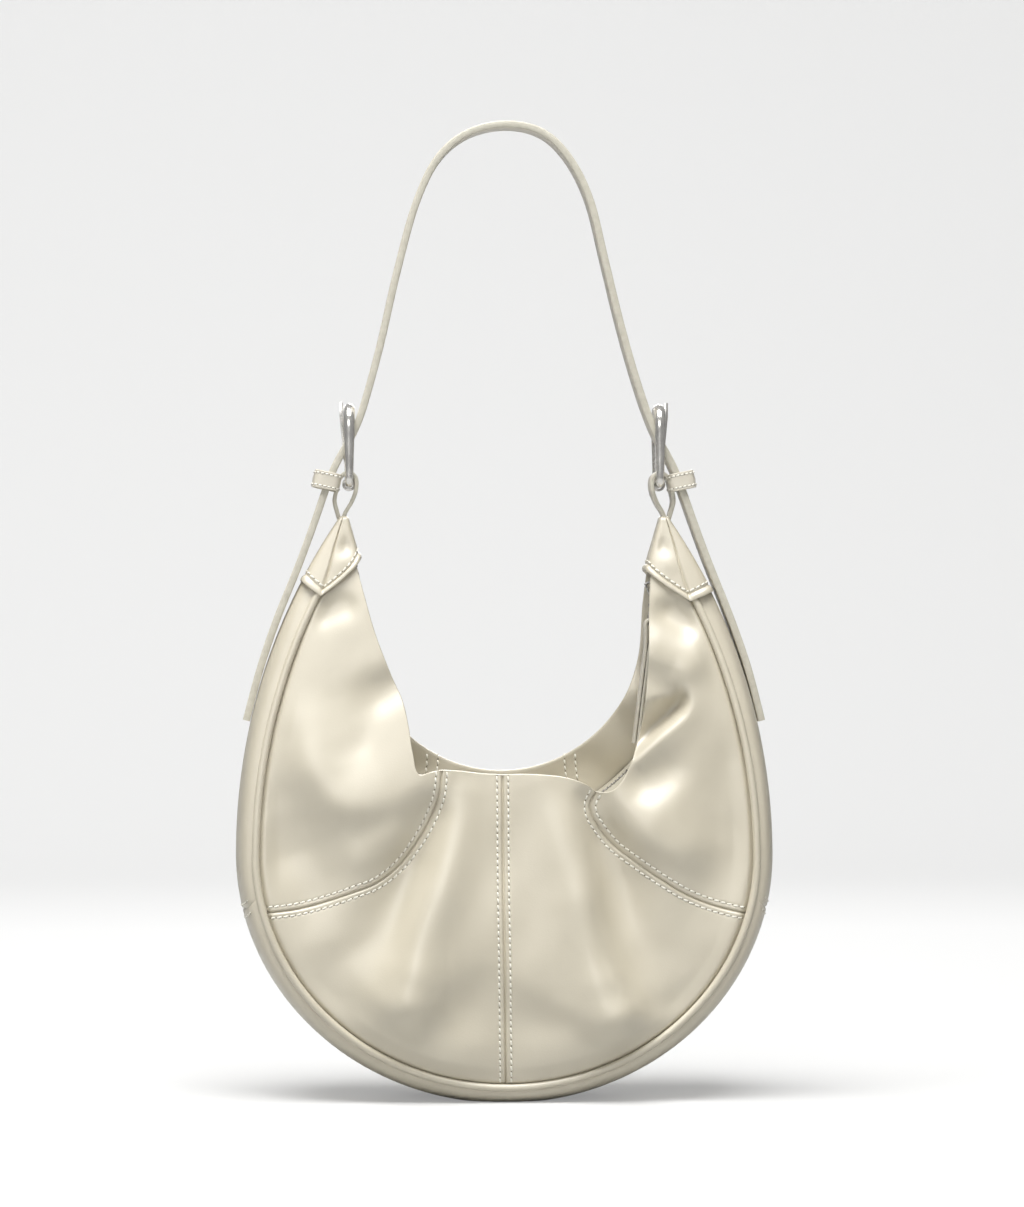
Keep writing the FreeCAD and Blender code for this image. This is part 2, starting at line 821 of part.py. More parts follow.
def strap_tail():
    """Bend and end of the right-hand tail, which clears the cap and then follows the gusset."""
    step = strap_corners()[1]
    centre = (half_width - side_arc_radius, widest_height)
    radius = side_arc_radius + cap_wall + tail_gap + strap_thickness / 2
    span = math.hypot(step[0] - centre[0], step[1] - centre[1])
    start = math.atan2(step[1] - centre[1], step[0] - centre[0]) - math.acos(radius / span)
    end = math.asin((tail_end_height - widest_height) / radius)
    middle = (start + end) / 2
    reach = radius / math.cos((start - end) / 2)
    bend = (centre[0] + reach * math.cos(middle), centre[1] + reach * math.sin(middle))
    tail = (centre[0] + radius * math.cos(end), centre[1] + radius * math.sin(end))
    return bend, tail, radius * tail_bend_share


def crown_radius():
    return bar_place()[0] * crown_share


def strap_apex():
    """Height where the two straight legs would meet above the round crown."""
    leg = strap_corners()[0]
    crown = cap_top_height + strap_rise - strap_thickness / 2 - crown_radius()
    rise = crown - leg[1]
    span = math.hypot(leg[0], rise)
    lean = math.atan2(leg[0], rise) - math.asin(crown_radius() / span)
    return leg[1] + leg[0] / math.tan(lean)


def strap_line():
    """Corners of the whole centre line from tail to tail, and the radius at each inner one."""
    bend, tail, bend_radius = strap_tail()
    right = list(strap_corners()) + [bend, tail]
    left = [(-x, z) for x, z in reversed(right)]
    right_radii = [strap_bend_radius, strap_bend_radius, bend_radius]
    return left + [(0, strap_apex())] + right, right_radii[::-1] + [crown_radius()] + right_radii


def spare_holes():
    """Further prong holes along the right-hand tail."""
    step = strap_corners()[1]
    run = direction(step, strap_tail()[0])
    side = FreeCAD.Vector(-run[1], 0, run[0])
    holes = []
    for i in range(1, spare_hole_count + 1):
        distance = strap_bend_radius + i * spare_hole_spacing
        place = at((step[0] + run[0] * distance, step[1] + run[1] * distance))
        holes.append(rod(place - side * strap_thickness, place + side * strap_thickness, spare_hole_radius))
    return holes


def strap():
    """One strap from tail to tail, with a slot at each prong."""
    points, radii = strap_line()
    band = ribbon(points, radii, strap_thickness, strap_half_width)
    cuts = [prong_sweep()] + spare_holes()
    return one_solid(band.cut(cuts + [mirrored(cut) for cut in cuts]))


def tab_loop(inset):
    """Outline of the right-hand buckle tab, or of its hollow when inset by the leather."""
    neck = neck_place()
    radius = bar_radius + part_gap + tab_leather - inset
    foot_half = tab_neck_half - inset / 2
    foot_height = cap_top_height + part_gap + inset + inset
    return loop_outline(bar_place(), radius, foot_half, neck[0], foot_height)


def buckle_tab():
    """Right-hand leather loop over the frame's bar, rounded at the neck where it folds."""
    neck_height = cap_top_height + part_gap + tab_neck_radius
    shoulder = cap_top_height + tab_shoulder_rise
    top = bar_place()[1] + overrun
    waist = cap_top_height + tab_waist_rise
    right = [
        (tab_half_width, top),
        (tab_half_width, shoulder),
        (tab_neck_radius, waist),
        (tab_neck_radius, neck_height),
    ]
    sides = [(-y, z) for y, z in reversed(right)] + right
    edges = [line(start, end) for start, end in zip(sides, sides[1:])]
    edges.append(arc(sides[-1], (0, cap_top_height + part_gap), sides[0]))
    tab = prism(tab_loop(0), half_deep).common(along_x(edges))
    tab = tab.cut(prism(tab_loop(tab_leather), half_deep))
    x, z = bar_place()
    eye = bar_radius + prong_running_gap + prong_eye_wall + part_gap
    slot_half = prong_half_width + part_gap
    slot = box((x - overrun, -slot_half, z - eye), (x + eye + overrun, slot_half, top))
    return one_solid(tab.cut(slot))


def keeper():
    """Right-hand band round the strap's tail, just outside the buckle tab."""
    step = strap_corners()[1]
    run = direction(step, strap_tail()[0])
    height = cap_top_height + keeper_rise
    middle = (step[0] + (step[1] - height) * run[0] / -run[1], height)
    lean = math.degrees(math.atan2(run[0], -run[1]))
    near = strap_thickness / 2 + part_gap
    half_inside = strap_half_width + part_gap
    low = height - keeper_height / 2
    high = height + keeper_height / 2
    outer = box(
        (middle[0] - near - keeper_wall, -half_inside - keeper_wall, low),
        (middle[0] + near + keeper_wall, half_inside + keeper_wall, high),
    )
    inner = box((middle[0] - near, -half_inside, low), (middle[0] + near, half_inside, high))
    return turned(one_solid(outer.cut(inner)), middle, -lean)


def build():
    nodes = {}
    for name, side in (("front", -1), ("back", 1)):
        for piece, solid in panels(side).items():
            nodes[name + "_" + piece] = solid
        nodes[name + "_piping"] = piping(side)
        nodes[name + "_facing"] = facing(side)
        nodes["lining_" + name] = lining_wall(side)
        nodes["zip_tape_" + name] = zip_tape(side)
        nodes["zip_teeth_" + name] = zip_teeth(side)
    nodes.update(gusset())
    nodes["lining_gusset"] = lining_gusset()
    nodes["zip_end_stops"] = zip_stops()
    nodes["zip_slider"] = zip_slider()
    nodes["pull_ring"] = pull_ring()
    nodes["pull_clip"] = pull_clip()
    nodes["pull_tab"] = pull_tab()
    nodes["strap"] = strap()
    paired = {
        "horn_cap": horn_cap(),
        "buckle_frame": buckle_frame(),
        "buckle_prong": prong(),
        "buckle_tab": buckle_tab(),
        "strap_keeper": keeper(),
    }
    for name, solid in paired.items():
        nodes[name + "_right"] = solid
        nodes[name + "_left"] = mirrored(solid)
    return nodes


def main():
    os.makedirs("parts", exist_ok=True)
    for name, shape in build().items():
        shape.exportStep(os.path.join("parts", name + ".step"))


main()
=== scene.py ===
"""Looks of the half moon bag: sculpted leather, sewn seams, polished hardware, plain white studio."""
import math

import bpy
import numpy as np
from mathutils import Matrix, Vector

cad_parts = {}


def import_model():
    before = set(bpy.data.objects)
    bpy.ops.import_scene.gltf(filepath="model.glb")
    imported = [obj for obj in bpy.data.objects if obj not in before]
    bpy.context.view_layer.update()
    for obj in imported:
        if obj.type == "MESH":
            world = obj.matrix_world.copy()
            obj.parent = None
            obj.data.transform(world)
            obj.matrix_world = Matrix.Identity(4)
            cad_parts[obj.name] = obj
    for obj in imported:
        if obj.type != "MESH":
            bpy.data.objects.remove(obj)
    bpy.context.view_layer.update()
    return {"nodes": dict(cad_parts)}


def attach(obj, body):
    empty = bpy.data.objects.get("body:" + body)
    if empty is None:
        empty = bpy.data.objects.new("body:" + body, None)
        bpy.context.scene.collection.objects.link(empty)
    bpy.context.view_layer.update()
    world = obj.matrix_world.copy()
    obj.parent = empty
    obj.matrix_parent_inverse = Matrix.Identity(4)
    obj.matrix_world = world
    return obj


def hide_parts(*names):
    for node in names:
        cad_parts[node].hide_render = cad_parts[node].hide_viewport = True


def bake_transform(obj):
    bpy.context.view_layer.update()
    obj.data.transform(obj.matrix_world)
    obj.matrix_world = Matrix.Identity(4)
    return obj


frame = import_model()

mm = 0.001
side_names = {-1: "front", 1: "back"}
hand_names = {-1: "left", 1: "right"}

# Body sizes, the same as the part's, in millimetres
half_width = 154.7
widest_height = 142.0
rest_flat = 1.6
side_arc_radius = 345.0
cap_top = 336.0
base_half_depth = 40.0
middle_half_depth = 35.0
middle_height = 150.0
horn_half_depth = 6.5
mouth_height = 270.0
mouth_radius = 82.0
leather = 1.8

# Swell of the panels inside their piping, the low part for the front and the back
low_swell = {-1: 2.0, 1: 4.0}
low_swell_height = 78.0
low_swell_spread = 50.0
even_swell = 2.0
swell_width = 46.0
swell_top = 312.0
swell_top_fade = 30.0

# Piping and gusset
piping_inset = 10.4
piping_radius = 2.2
piping_sink = 0.2
piping_top = 294.0
panel_edge_gap = 1.6
panel_top = 312.0
panel_top_half = 101.5
tuck_depth = 2.3
tuck_gap = 2.0
tuck_width = 1.9
gusset_edge_inset = 9.2
gusset_roundness = 3.2
gusset_crown = 1.2
gusset_side_gap = 0.6
gusset_top = 322.0
gusset_seam_height = 110.0
gusset_seam_tuck = 1.0
gusset_crowding = 1.6
gusset_middle = (0.0, 0.0, 120.0)

# Rim and facing
lip_radius = 1.7
lip_rise = 0.5
facing_reach = 40.0
facing_least = 2.5
facing_share = 0.8
facing_gap = 0.3
facing_gap_run = 5.0
facing_thickness = 0.9
facing_least_depth = 0.5

# Sewing
stitch_pitch = 3.7
keeper_stitch_pitch = 2.6
stitch_radius = 0.55
stitch_flatness = 0.8
stitch_bluntness = 0.6
stitch_share = 0.4
stitch_slant = 0.16
stitch_bend = 0.32
stitch_lift = 0.12
hole_radius = 0.34
hole_lift = 0.08
hole_sides = 6
row_offset = 3.2
row_sink = 0.3
row_sink_width = 0.8
row_end_gap = 3.0
row_lift = -0.1
groove_depth = 1.3
groove_width = 0.7
seam_points = 140
inner_row_points = 20
inner_row_lift = 0.35

# Front rim, seen from the front, from the left cap round to the right cap
front_rims = [
    [(-88.5, 316.0), (-84.0, 299.0), (-75.0, 267.0), (-66.5, 245.0), (-60.0, 230.0),
     (-56.5, 214.0), (-54.5, 201.0), (-50.0, 188.0), (-44.5, 189.5), (-37.5, 190.8)],
    [(-37.5, 190.8), (-26.0, 190.0), (-14.0, 188.6), (-2.5, 188.0)],
    [(-2.5, 188.0), (19.0, 187.9), (38.5, 185.0), (47.0, 181.5), (51.5, 178.2)],
    [(51.5, 178.2), (56.5, 177.6), (61.5, 179.0), (66.5, 184.0), (72.0, 194.5), (77.3, 209.0),
     (81.2, 234.0), (83.2, 262.0), (84.2, 286.0), (85.6, 304.0), (88.5, 316.0)],
]

# Seams of the front: the curved ones from the piping up to the rim, the centre one from the rim down
front_seam_left = [
    (-143.5, 109.0), (-118.0, 112.0), (-90.0, 120.5), (-73.5, 127.0), (-62.5, 135.5),
    (-52.5, 148.0), (-44.0, 163.0), (-39.0, 177.0), (-37.5, 190.8),
]
front_seam_right = [
    (143.5, 107.0), (118.5, 113.0), (104.0, 118.8), (89.0, 127.6), (74.5, 137.5),
    (62.5, 146.6), (53.5, 157.5), (49.0, 165.0), (48.3, 171.5), (51.5, 178.2),
]
front_seam_centre = [(-2.5, 188.0), (-2.4, 120.0), (-1.0, 9.0)]

# Seams and horn rims of the back: ovals beside the centre seam, and the rim above the mouth's round edge
back_seam_half = 40.5
back_oval_centre = (142.0, 198.0)
back_oval_radii = (101.5, 90.0)
back_seam_centre = [(0.0, 188.0), (0.0, 9.0)]
back_horn_rim = [(88.5, 316.0), (84.5, 304.0), (82.6, 285.0)]
back_horn_rim_foot = 81.9

# Folds of the leather: path seen from the front, spreads to its left and right, heights along it, roundness
front_folds = [
    # Hanging lower edge of the whole front: a tight scallop on the left and a long slanting one on the right
    ([(-90, 86), (-77, 66), (-60, 54), (-47, 58), (-37, 72), (-23, 81), (-3, 83),
      (9, 75), (23, 63), (43, 54), (60, 46), (68, 50), (71, 60)],
     (46, 54, 54, 50), (10, 9, 8, 10, 15, 16, 12, 9, 8, 9),
     (1.5, 4, 5.5, 5, 4, 3.5, 4.5, 5.5, 6, 3), 1.6),
    # Full lower edge under the scallops
    ([(-74, 40), (-40, 30), (0, 27), (40, 30), (78, 40)], (15,), (14,), (3, 4.5, 2, 4.5, 3), 2),
    # Long fold from the rim to a rounded tip, low on the left, with a hollow beside it
    ([(-24, 176), (-36, 134), (-48, 97), (-56, 62)], (8, 14, 15), (7, 9, 10), (2, 7, 6), 1.8),
    ([(-54, 70), (-58, 57)], (13,), (14,), (3.5, 4.5), 2),
    ([(-44, 165), (-56, 133), (-67, 108), (-80, 84), (-92, 64)], (7, 10, 11), (8, 18, 22),
     (-5, -9, -7, -4.5, -2), 2),
    # Long fold low on the right, with its hollow
    ([(22, 182), (38, 140), (46, 112), (54, 84), (62, 56)], (9, 11, 10), (10, 20, 20), (2, 7.5, 6.5), 1.8),
    ([(59, 66), (64, 53)], (11,), (15,), (3, 4.5), 2),
    ([(50, 172), (56, 150), (60, 128), (65, 106), (72, 84), (86, 62)], (9, 20, 24), (8, 9, 9),
     (-8, -12, -12, -10, -7, -3), 2),
    # Pouch of the left horn: crease from the rim, hanging lower edge, and hollows round it
    ([(-56, 244), (-72, 236), (-92, 228)], (7, 12), (7, 12), (-4.5, -4.5, -1.5), 2),
    ([(-52, 184), (-70, 174), (-92, 172), (-108, 188), (-114, 214)], (10, 12, 14), (30, 30, 18),
     (6, 8, 8.5, 7.5, 4), 1.6),
    ([(-130, 168), (-121, 145), (-108, 118), (-100, 94)], (17,), (17,), (-3, -7.5, -6, -2), 2),
    ([(-84, 143), (-66, 151)], (9,), (9,), (2.5, 2.5), 2),
    ([(-94, 286), (-104, 282)], (7,), (7,), (-3.0, -2.5), 2),
    # Right horn: pinched dimple under the cap, hollows, and the hanging edge above the curved seam
    ([(96, 282), (104, 276)], (7,), (7,), (-4.5, -3.5), 2),
    ([(86, 258), (104, 252)], (13,), (8,), (5.0, 4.0), 2),
    ([(80, 184), (92, 190)], (10,), (10,), (-4.5, -4.0), 2),
    ([(64, 166), (80, 154), (100, 146), (120, 150)], (30, 32), (10, 12), (5, 7, 6, 2), 1.6),
    ([(132, 190), (126, 150), (116, 112), (108, 90)], (16,), (16,), (-2, -5, -4, -2), 2),
]
back_folds = [
    ([(-56, 54), (0, 72), (56, 54)], (50,), (20,), (4, 5, 4), 1.6),
    ([(28, 172), (42, 130), (52, 90), (56, 58)], (10, 16), (10, 20), (1, 5), 1.8),
    ([(-20, 176), (-32, 140), (-46, 98), (-56, 58)], (10, 20), (10, 16), (1, 5), 1.8),
    ([(-42, 172), (-56, 120), (-74, 82)], (9, 14), (9, 14), (-4, -4), 2),
    ([(78, 232), (92, 214), (104, 196)], (10,), (10,), (-5, -2), 2),
    ([(112, 200), (92, 178), (66, 180), (50, 190)], (26,), (12,), (2, 5, 4), 1.6),
    ([(-80, 236), (-94, 224), (-106, 208)], (10,), (10,), (-6, -2), 2),
    ([(-52, 186), (-72, 174), (-96, 176), (-112, 204)], (12,), (28,), (4, 6, 3), 1.6),
    ([(122, 170), (108, 140)], (16,), (16,), (-4, -3), 2),
]
crest_radius = 2.0
blur_share = 0.07
most_blur = 3.4
fold_fade = 14.0
fold_top = 306.0
fold_top_fade = 22.0

# Overhanging edge of the right horn's S-shaped fold, from the rim up: the leather to its left is sunk
s_fold = [
    (72, 194), (78, 201), (87, 210), (98, 219), (105, 226), (107, 233), (103, 240), (95, 245), (85, 248),
]
s_fold_depth = (2.0, 10.0, 15.0, 16.0, 14.0, 10.0, 6.0, 3.0, 0.5)
s_fold_edge = (2.0, 2.0, 2.0, 2.2, 2.6, 4.0, 6.0, 8.0, 9.0)
s_fold_reach = 13.5
s_fold_lip = 3.5
s_fold_lip_width = 12.0
s_fold_lip_stretch = 1.15
s_fold_blur = 1.3

# Slow unevenness of the leather: its height, the lengths of its waves and of the small ones across them
ripple_height = 0.35
ripple_x, ripple_z = 13.0, 17.0
ripple_sway, ripple_sway_z = 1.3, 21.0
ripple_start = 0.6
ripple_cross, ripple_cross_x, ripple_cross_z = 0.6, 7.0, 9.0
ripple_shift = 31.0


# Lines


def steps_of(points):
    """Distances between the points of a line."""
    return np.linalg.norm(np.diff(points, axis=0), axis=1)


def distances_along(points):
    """Distance of each point of a line from its start."""
    return np.concatenate([[0.0], np.cumsum(steps_of(points))])


def evenly(points, count):
    """The same line with evenly spaced points."""
    points = np.array(points, float)
    along = distances_along(points)
    wanted = np.linspace(0, along[-1], count)
    return np.stack([np.interp(wanted, along, column) for column in points.T], axis=1)


def smooth_line(points, count, samples=24):
    """Evenly spaced points on a smooth curve through the given ones."""
    points = np.array(points, float)
    along = distances_along(points)
    slopes = np.gradient(points, along, axis=0)
    fine = np.linspace(0, along[-1], samples * len(points))
    index = np.clip(np.searchsorted(along, fine, side="right") - 1, 0, len(points) - 2)
    span = steps_of(points)[index][:, None]
    t = (fine - along[index])[:, None] / span
    curve = (
        (2 * t**3 - 3 * t**2 + 1) * points[index]
        + (t**3 - 2 * t**2 + t) * span * slopes[index]
        + (3 * t**2 - 2 * t**3) * points[index + 1]
        + (t**3 - t**2) * span * slopes[index + 1]
    )
    return evenly(curve, count)


def crowded(line, count, samples=600, crowding=0.115):
    """The same line with its points closer together at both ends."""
    share = np.linspace(0, 1, count)
    index = (share - crowding * np.sin(2 * math.pi * share)) * (samples - 1)
    columns = evenly(line, samples).T
    return np.stack([np.interp(index, np.arange(samples), column) for column in columns], axis=1)


def arc(centre, radius, start, end, count):
    """Points of an arc between two angles in degrees."""
    turn = np.radians(np.linspace(start, end, count))
    return [(centre[0] + radius * math.cos(a), centre[1] + radius * math.sin(a)) for a in turn]


def squared_ring(count, squareness):
    """A circle of radius one, flattened towards a square."""
    turn = np.linspace(0, 2 * math.pi, count)
    ring = np.stack([np.cos(turn), np.sin(turn)], axis=1)
    return np.sign(ring) * np.abs(ring) ** squareness


def mirrored(points, sign):
    return [(sign * x, z) for x, z in points]


def unit(vectors):
    """Vectors brought to a length of one."""
    return vectors / np.linalg.norm(vectors, axis=-1, keepdims=True)


def beside(line, offset):
    """A line moved sideways in X and Z."""
    run = unit(np.gradient(line, axis=0))
    return line + offset * np.stack([-run[:, 1], run[:, 0]], axis=1)


def placed(x, y, z):
    """Points from their three coordinates."""
    return np.stack(np.broadcast_arrays(x, y, z), axis=-1)


def along_path(x, z, line):
    """Distance of points from a line, their share of the way along it, and their side: 1 left to -1 right."""
    flat = np.stack([np.ravel(x), np.ravel(z)], axis=1)
    best = np.full(len(flat), np.inf)
    share = np.zeros(len(flat))
    side = np.zeros(len(flat))
    for i, (start, end) in enumerate(zip(line, line[1:])):
        run = end - start
        gap = flat - start
        t = np.clip((gap @ run) / (run @ run), 0, 1)
        away = gap - t[:, None] * run
        distance = np.hypot(away[:, 0], away[:, 1])
        nearer = distance < best
        best = np.where(nearer, distance, best)
        share = np.where(nearer, (i + t) / (len(line) - 1), share)
        across = (run[0] * gap[:, 1] - run[1] * gap[:, 0]) / np.hypot(*run)
        side = np.where(nearer, across / np.maximum(distance, 1e-6), side)
    shape = np.shape(x)
    return best.reshape(shape), share.reshape(shape), np.clip(side, -1, 1).reshape(shape)


def spread(share, values):
    return np.interp(share, np.linspace(0, 1, len(values)), values)


def bell(distance, width, power=2):
    """One at no distance, fading away over a width."""
    return np.exp(-((distance / width) ** power))


def eased(share):
    """Share from 0 to 1 with soft ends."""
    share = np.clip(share, 0, 1)
    return share * share * (3 - 2 * share)


# Shape of the body


def side_circle():
    """Centre and radius of the arc that the front and back follow, in depth and height."""
    a = np.array([base_half_depth, 0.0])
    b = np.array([middle_half_depth, middle_height])
    c = np.array([horn_half_depth, cap_top])
    rows = np.array([b - a, c - a]) * 2
    right = np.array([b @ b - a @ a, c @ c - a @ a])
    centre = np.linalg.solve(rows, right)
    return centre, float(np.linalg.norm(a - centre))


arc_centre, arc_radius = side_circle()


def side_depth(z):
    """Half depth of the body at a height."""
    inside = np.maximum(arc_radius**2 - (np.asarray(z, float) - arc_centre[1]) ** 2, 0)
    return arc_centre[0] + np.sqrt(inside)


def outer_half(z, inset=0.0):
    """Half width of the crescent at a height above its widest."""
    radius = side_arc_radius - inset
    return half_width - side_arc_radius + np.sqrt(radius**2 - (np.asarray(z, float) - widest_height) ** 2)


def outline(inset, top, count, samples=160):
    """Outer edge of the crescent from the left horn round the bottom to the right horn."""
    turn = np.linspace(0, math.pi / 2, samples)
    low_x = (half_width - inset) * np.sin(turn)
    low_z = widest_height - (widest_height + rest_flat - inset) * np.cos(turn)
    high_z = np.linspace(widest_height, top, samples)[1:]
    high_x = outer_half(high_z, inset)
    right = np.stack([np.concatenate([low_x, high_x]), np.concatenate([low_z, high_z])], axis=1)
    left = right[:0:-1] * [-1, 1]
    return evenly(np.concatenate([left, right]), count)


def edge_distance(x, z, over_top=5.0):
    """How far a point lies inside the crescent's outer edge."""
    tall = widest_height + rest_flat
    low = 1 - np.hypot(x / half_width, (widest_height - np.minimum(z, widest_height)) / tall)
    high = outer_half(np.clip(z, widest_height, cap_top + over_top)) - np.abs(x)
    return np.where(z < widest_height, low * half_width, high)


net_x = np.arange(-170.0, 171.0)
net_z = np.arange(-20.0, 351.0)


def fold_height(x, z, path, left, right, heights, power):
    """Height of one fold: highest along its path and fading away to both sides."""
    distance, share, side = along_path(x, z, smooth_line(path, 28))
    wide = spread(share, right) + (spread(share, left) - spread(share, right)) * (1 + side) / 2
    rounded = np.sqrt(distance**2 + crest_radius**2) - crest_radius
    return spread(share, heights) * bell(rounded, wide, power)


def overhang(x, z):
    """Height of the S-shaped fold: a rounded lip with a steep drop into the hollow on its left."""
    distance, share, side = along_path(x, z, smooth_line(s_fold, 40))
    inside = np.clip(side, 0, 1) * (1 - bell(distance, spread(share, s_fold_edge)))
    hollow = spread(share, s_fold_depth) * inside * bell(distance, s_fold_reach)
    lip = s_fold_lip * bell(distance, s_fold_lip_width)
    lip = lip * np.sin(np.pi * np.clip(share * s_fold_lip_stretch, 0, 1)) ** 0.5
    return lip * (1 - inside) - hollow


def blurred(heights, width):
    """Heights on the net, softened over a width in both directions."""
    reach = np.arange(-int(3 * width) - 1, int(3 * width) + 2)
    weights = np.exp(-0.5 * (reach / width) ** 2)
    weights /= weights.sum()
    for axis in (0, 1):
        heights = np.apply_along_axis(np.convolve, axis, heights, weights, "same")
    return heights


def fold_net(folds):
    """Heights of all folds of one side, on the net."""
    x, z = np.meshgrid(net_x, net_z)
    total = np.zeros_like(x)
    for path, left, right, heights, power in folds:
        single = fold_height(x, z, path, left, right, heights, power)
        total += blurred(single, min(blur_share * (max(left) + max(right)), most_blur))
    return total


s_fold_net = blurred(overhang(*np.meshgrid(net_x, net_z)), s_fold_blur)
fold_nets = {-1: fold_net(front_folds) + s_fold_net, 1: fold_net(back_folds)}


def fold_sum(side, x, z):
    """Height of all folds of one side, read between the points of its net."""
    net = fold_nets[side]
    column = np.clip(x - net_x[0], 0, len(net_x) - 1.001)
    row = np.clip(z - net_z[0], 0, len(net_z) - 1.001)
    i, j = column.astype(int), row.astype(int)
    u, v = column - i, row - j
    low = net[j, i] * (1 - u) + net[j, i + 1] * u
    high = net[j + 1, i] * (1 - u) + net[j + 1, i + 1] * u
    return low * (1 - v) + high * v


def ripple(x, z):
    """Slow unevenness of soft leather."""
    sway = ripple_sway * np.sin(z / ripple_sway_z)
    waves = np.sin(x / ripple_x + sway) * np.sin(z / ripple_z + ripple_start)
    return ripple_height * (waves + ripple_cross * np.sin(x / ripple_cross_x - z / ripple_cross_z))


def bare_skin(side, x, z):
    """Distance of the outer leather from the middle plane, at the front (-1) or back (1), without seams."""
    x = np.asarray(x, float)
    z = np.asarray(z, float)
    edge = edge_distance(x, z) - piping_inset
    inside = np.clip(edge / swell_width, 0, 1)
    low = low_swell[side] * bell(z - low_swell_height, low_swell_spread)
    swell = (1 - (1 - inside) ** 2) * (low + even_swell)
    fade = eased(edge / fold_fade) * eased((fold_top - z) / fold_top_fade)
    depth = side_depth(z) + swell * eased((swell_top - z) / swell_top_fade)
    depth = depth + fade * (fold_sum(side, x, z) + ripple(x + ripple_shift * side, z))
    return depth - tuck_depth * bell(np.clip(edge - tuck_gap, 0, None), tuck_width)


def sewn_skin(side, x, z):
    """The same with the grooves of the seams and the sunk rows of stitches beside them."""
    depth = bare_skin(side, x, z)
    for line in seams[side]:
        gap = along_path(x, z, line)[0]
        depth = depth - groove_depth * bell(gap, groove_width)
        depth = depth - row_sink * bell(gap - row_offset, row_sink_width)
    return depth


def on_skin(side, points, lift, step=0.8):
    """Points on the outer leather, lifted off it, and the directions that point out of it."""
    x, z = points.T
    dx = (bare_skin(side, x + step, z) - bare_skin(side, x - step, z)) / (2 * step)
    dz = (bare_skin(side, x, z + step) - bare_skin(side, x, z - step)) / (2 * step)
    normal = unit(placed(-dx, float(side), -dz))
    return placed(x, side * bare_skin(side, x, z), z) + normal * lift, normal


# Seams and rims as even lines


def mouth_edge(x):
    """Height of the mouth's round edge at a distance from the middle."""
    return mouth_height - np.sqrt(mouth_radius**2 - x**2)


def mouth_arc(start, end, count):
    """Part of the mouth's round edge between two distances from the middle."""
    x = np.linspace(start, end, 80)
    return evenly(np.stack([x, mouth_edge(x)], axis=1), count)


def oval_seam(sign):
    """Curved seam of the back: a quarter of an oval from the piping to the rim."""
    turn = np.linspace(0, math.pi / 2, 60)
    x = sign * (back_oval_centre[0] - back_oval_radii[0] * np.sin(turn))
    z = back_oval_centre[1] - back_oval_radii[1] * np.cos(turn)
    line = evenly(np.stack([x, z], axis=1), seam_points)
    line[-1] = (sign * back_seam_half, mouth_edge(back_seam_half))
    return line


def horn_rim(sign):
    """Edge of the mouth along one horn of the back, from the cap down to the curved seam."""
    low = mouth_arc(sign * back_horn_rim_foot, sign * back_seam_half, 60)
    return evenly(np.concatenate([mirrored(back_horn_rim, sign), low]), 150)


def rim_line(side):
    """The whole rim from the left cap to the right cap, in X and Z."""
    if side < 0:
        return evenly(np.concatenate([smooth_line(part, 160) for part in front_rims]), 420)
    middle = mouth_arc(-back_seam_half, back_seam_half, 120)
    return evenly(np.concatenate([horn_rim(-1), middle, horn_rim(1)[::-1]]), 420)


front_curves = [smooth_line(line, seam_points) for line in (front_seam_left, front_seam_right)]
seams = {
    -1: [*front_curves, evenly(front_seam_centre, seam_points)],
    1: [oval_seam(-1), oval_seam(1), evenly(back_seam_centre, seam_points)],
}


# Building meshes


def activate(piece):
    bpy.ops.object.select_all(action="DESELECT")
    piece.select_set(True)
    bpy.context.view_layer.objects.active = piece


def edit_all(piece, action, **settings):
    activate(piece)
    bpy.ops.object.mode_set(mode="EDIT")
    bpy.ops.mesh.select_all(action="SELECT")
    action(**settings)
    bpy.ops.object.mode_set(mode="OBJECT")


def modify(piece, kind, **settings):
    """Adds a modifier with its settings and applies it."""
    activate(piece)
    modifier = piece.modifiers.new(kind.lower(), kind)
    for key, value in settings.items():
        setattr(modifier, key, value)
    bpy.ops.object.modifier_apply(modifier=modifier.name)


def smooth(piece, degrees):
    activate(piece)
    bpy.ops.object.shade_smooth_by_angle(angle=math.radians(degrees))


def weld(piece, gap):
    edit_all(piece, bpy.ops.mesh.remove_doubles, threshold=gap * mm)


def face_out(piece):
    edit_all(piece, bpy.ops.mesh.normals_make_consistent, inside=False)


def face_away(piece, place):
    """Turns the faces of an open sheet so that they look away from a place, in metres."""
    normals, centres = np.zeros((2, len(piece.data.polygons) * 3))
    piece.data.polygons.foreach_get("normal", normals)
    piece.data.polygons.foreach_get("center", centres)
    if (normals.reshape(-1, 3) * (centres.reshape(-1, 3) - place)).sum() < 0:
        edit_all(piece, bpy.ops.mesh.flip_normals)


def thicken(piece, thickness, offset):
    modify(piece, "SOLIDIFY", thickness=thickness * mm, offset=offset, use_even_offset=False)


def linked(name, data):
    made = bpy.data.objects.new(name, data)
    bpy.context.scene.collection.objects.link(made)
    return made


def grid_sheet(name, points):
    """Grid primitive whose vertices are moved to the rows of points, given in millimetres."""
    rows, columns = points.shape[:2]
    bpy.ops.object.select_all(action="DESELECT")
    bpy.ops.mesh.primitive_grid_add(x_subdivisions=columns - 1, y_subdivisions=rows - 1, size=1)
    piece = bpy.context.object
    piece.name = name
    piece.data.name = name
    piece.data.vertices.foreach_set("co", (points.reshape(-1, 3) * mm).astype(np.float32).ravel())
    piece.data.update()
    return piece


def closed_grid(name, points, degrees):
    """Grid whose meeting edges are welded into a closed skin."""
    piece = grid_sheet(name, np.array(points))
    weld(piece, 0.02)
    face_out(piece)
    smooth(piece, degrees)
    return piece


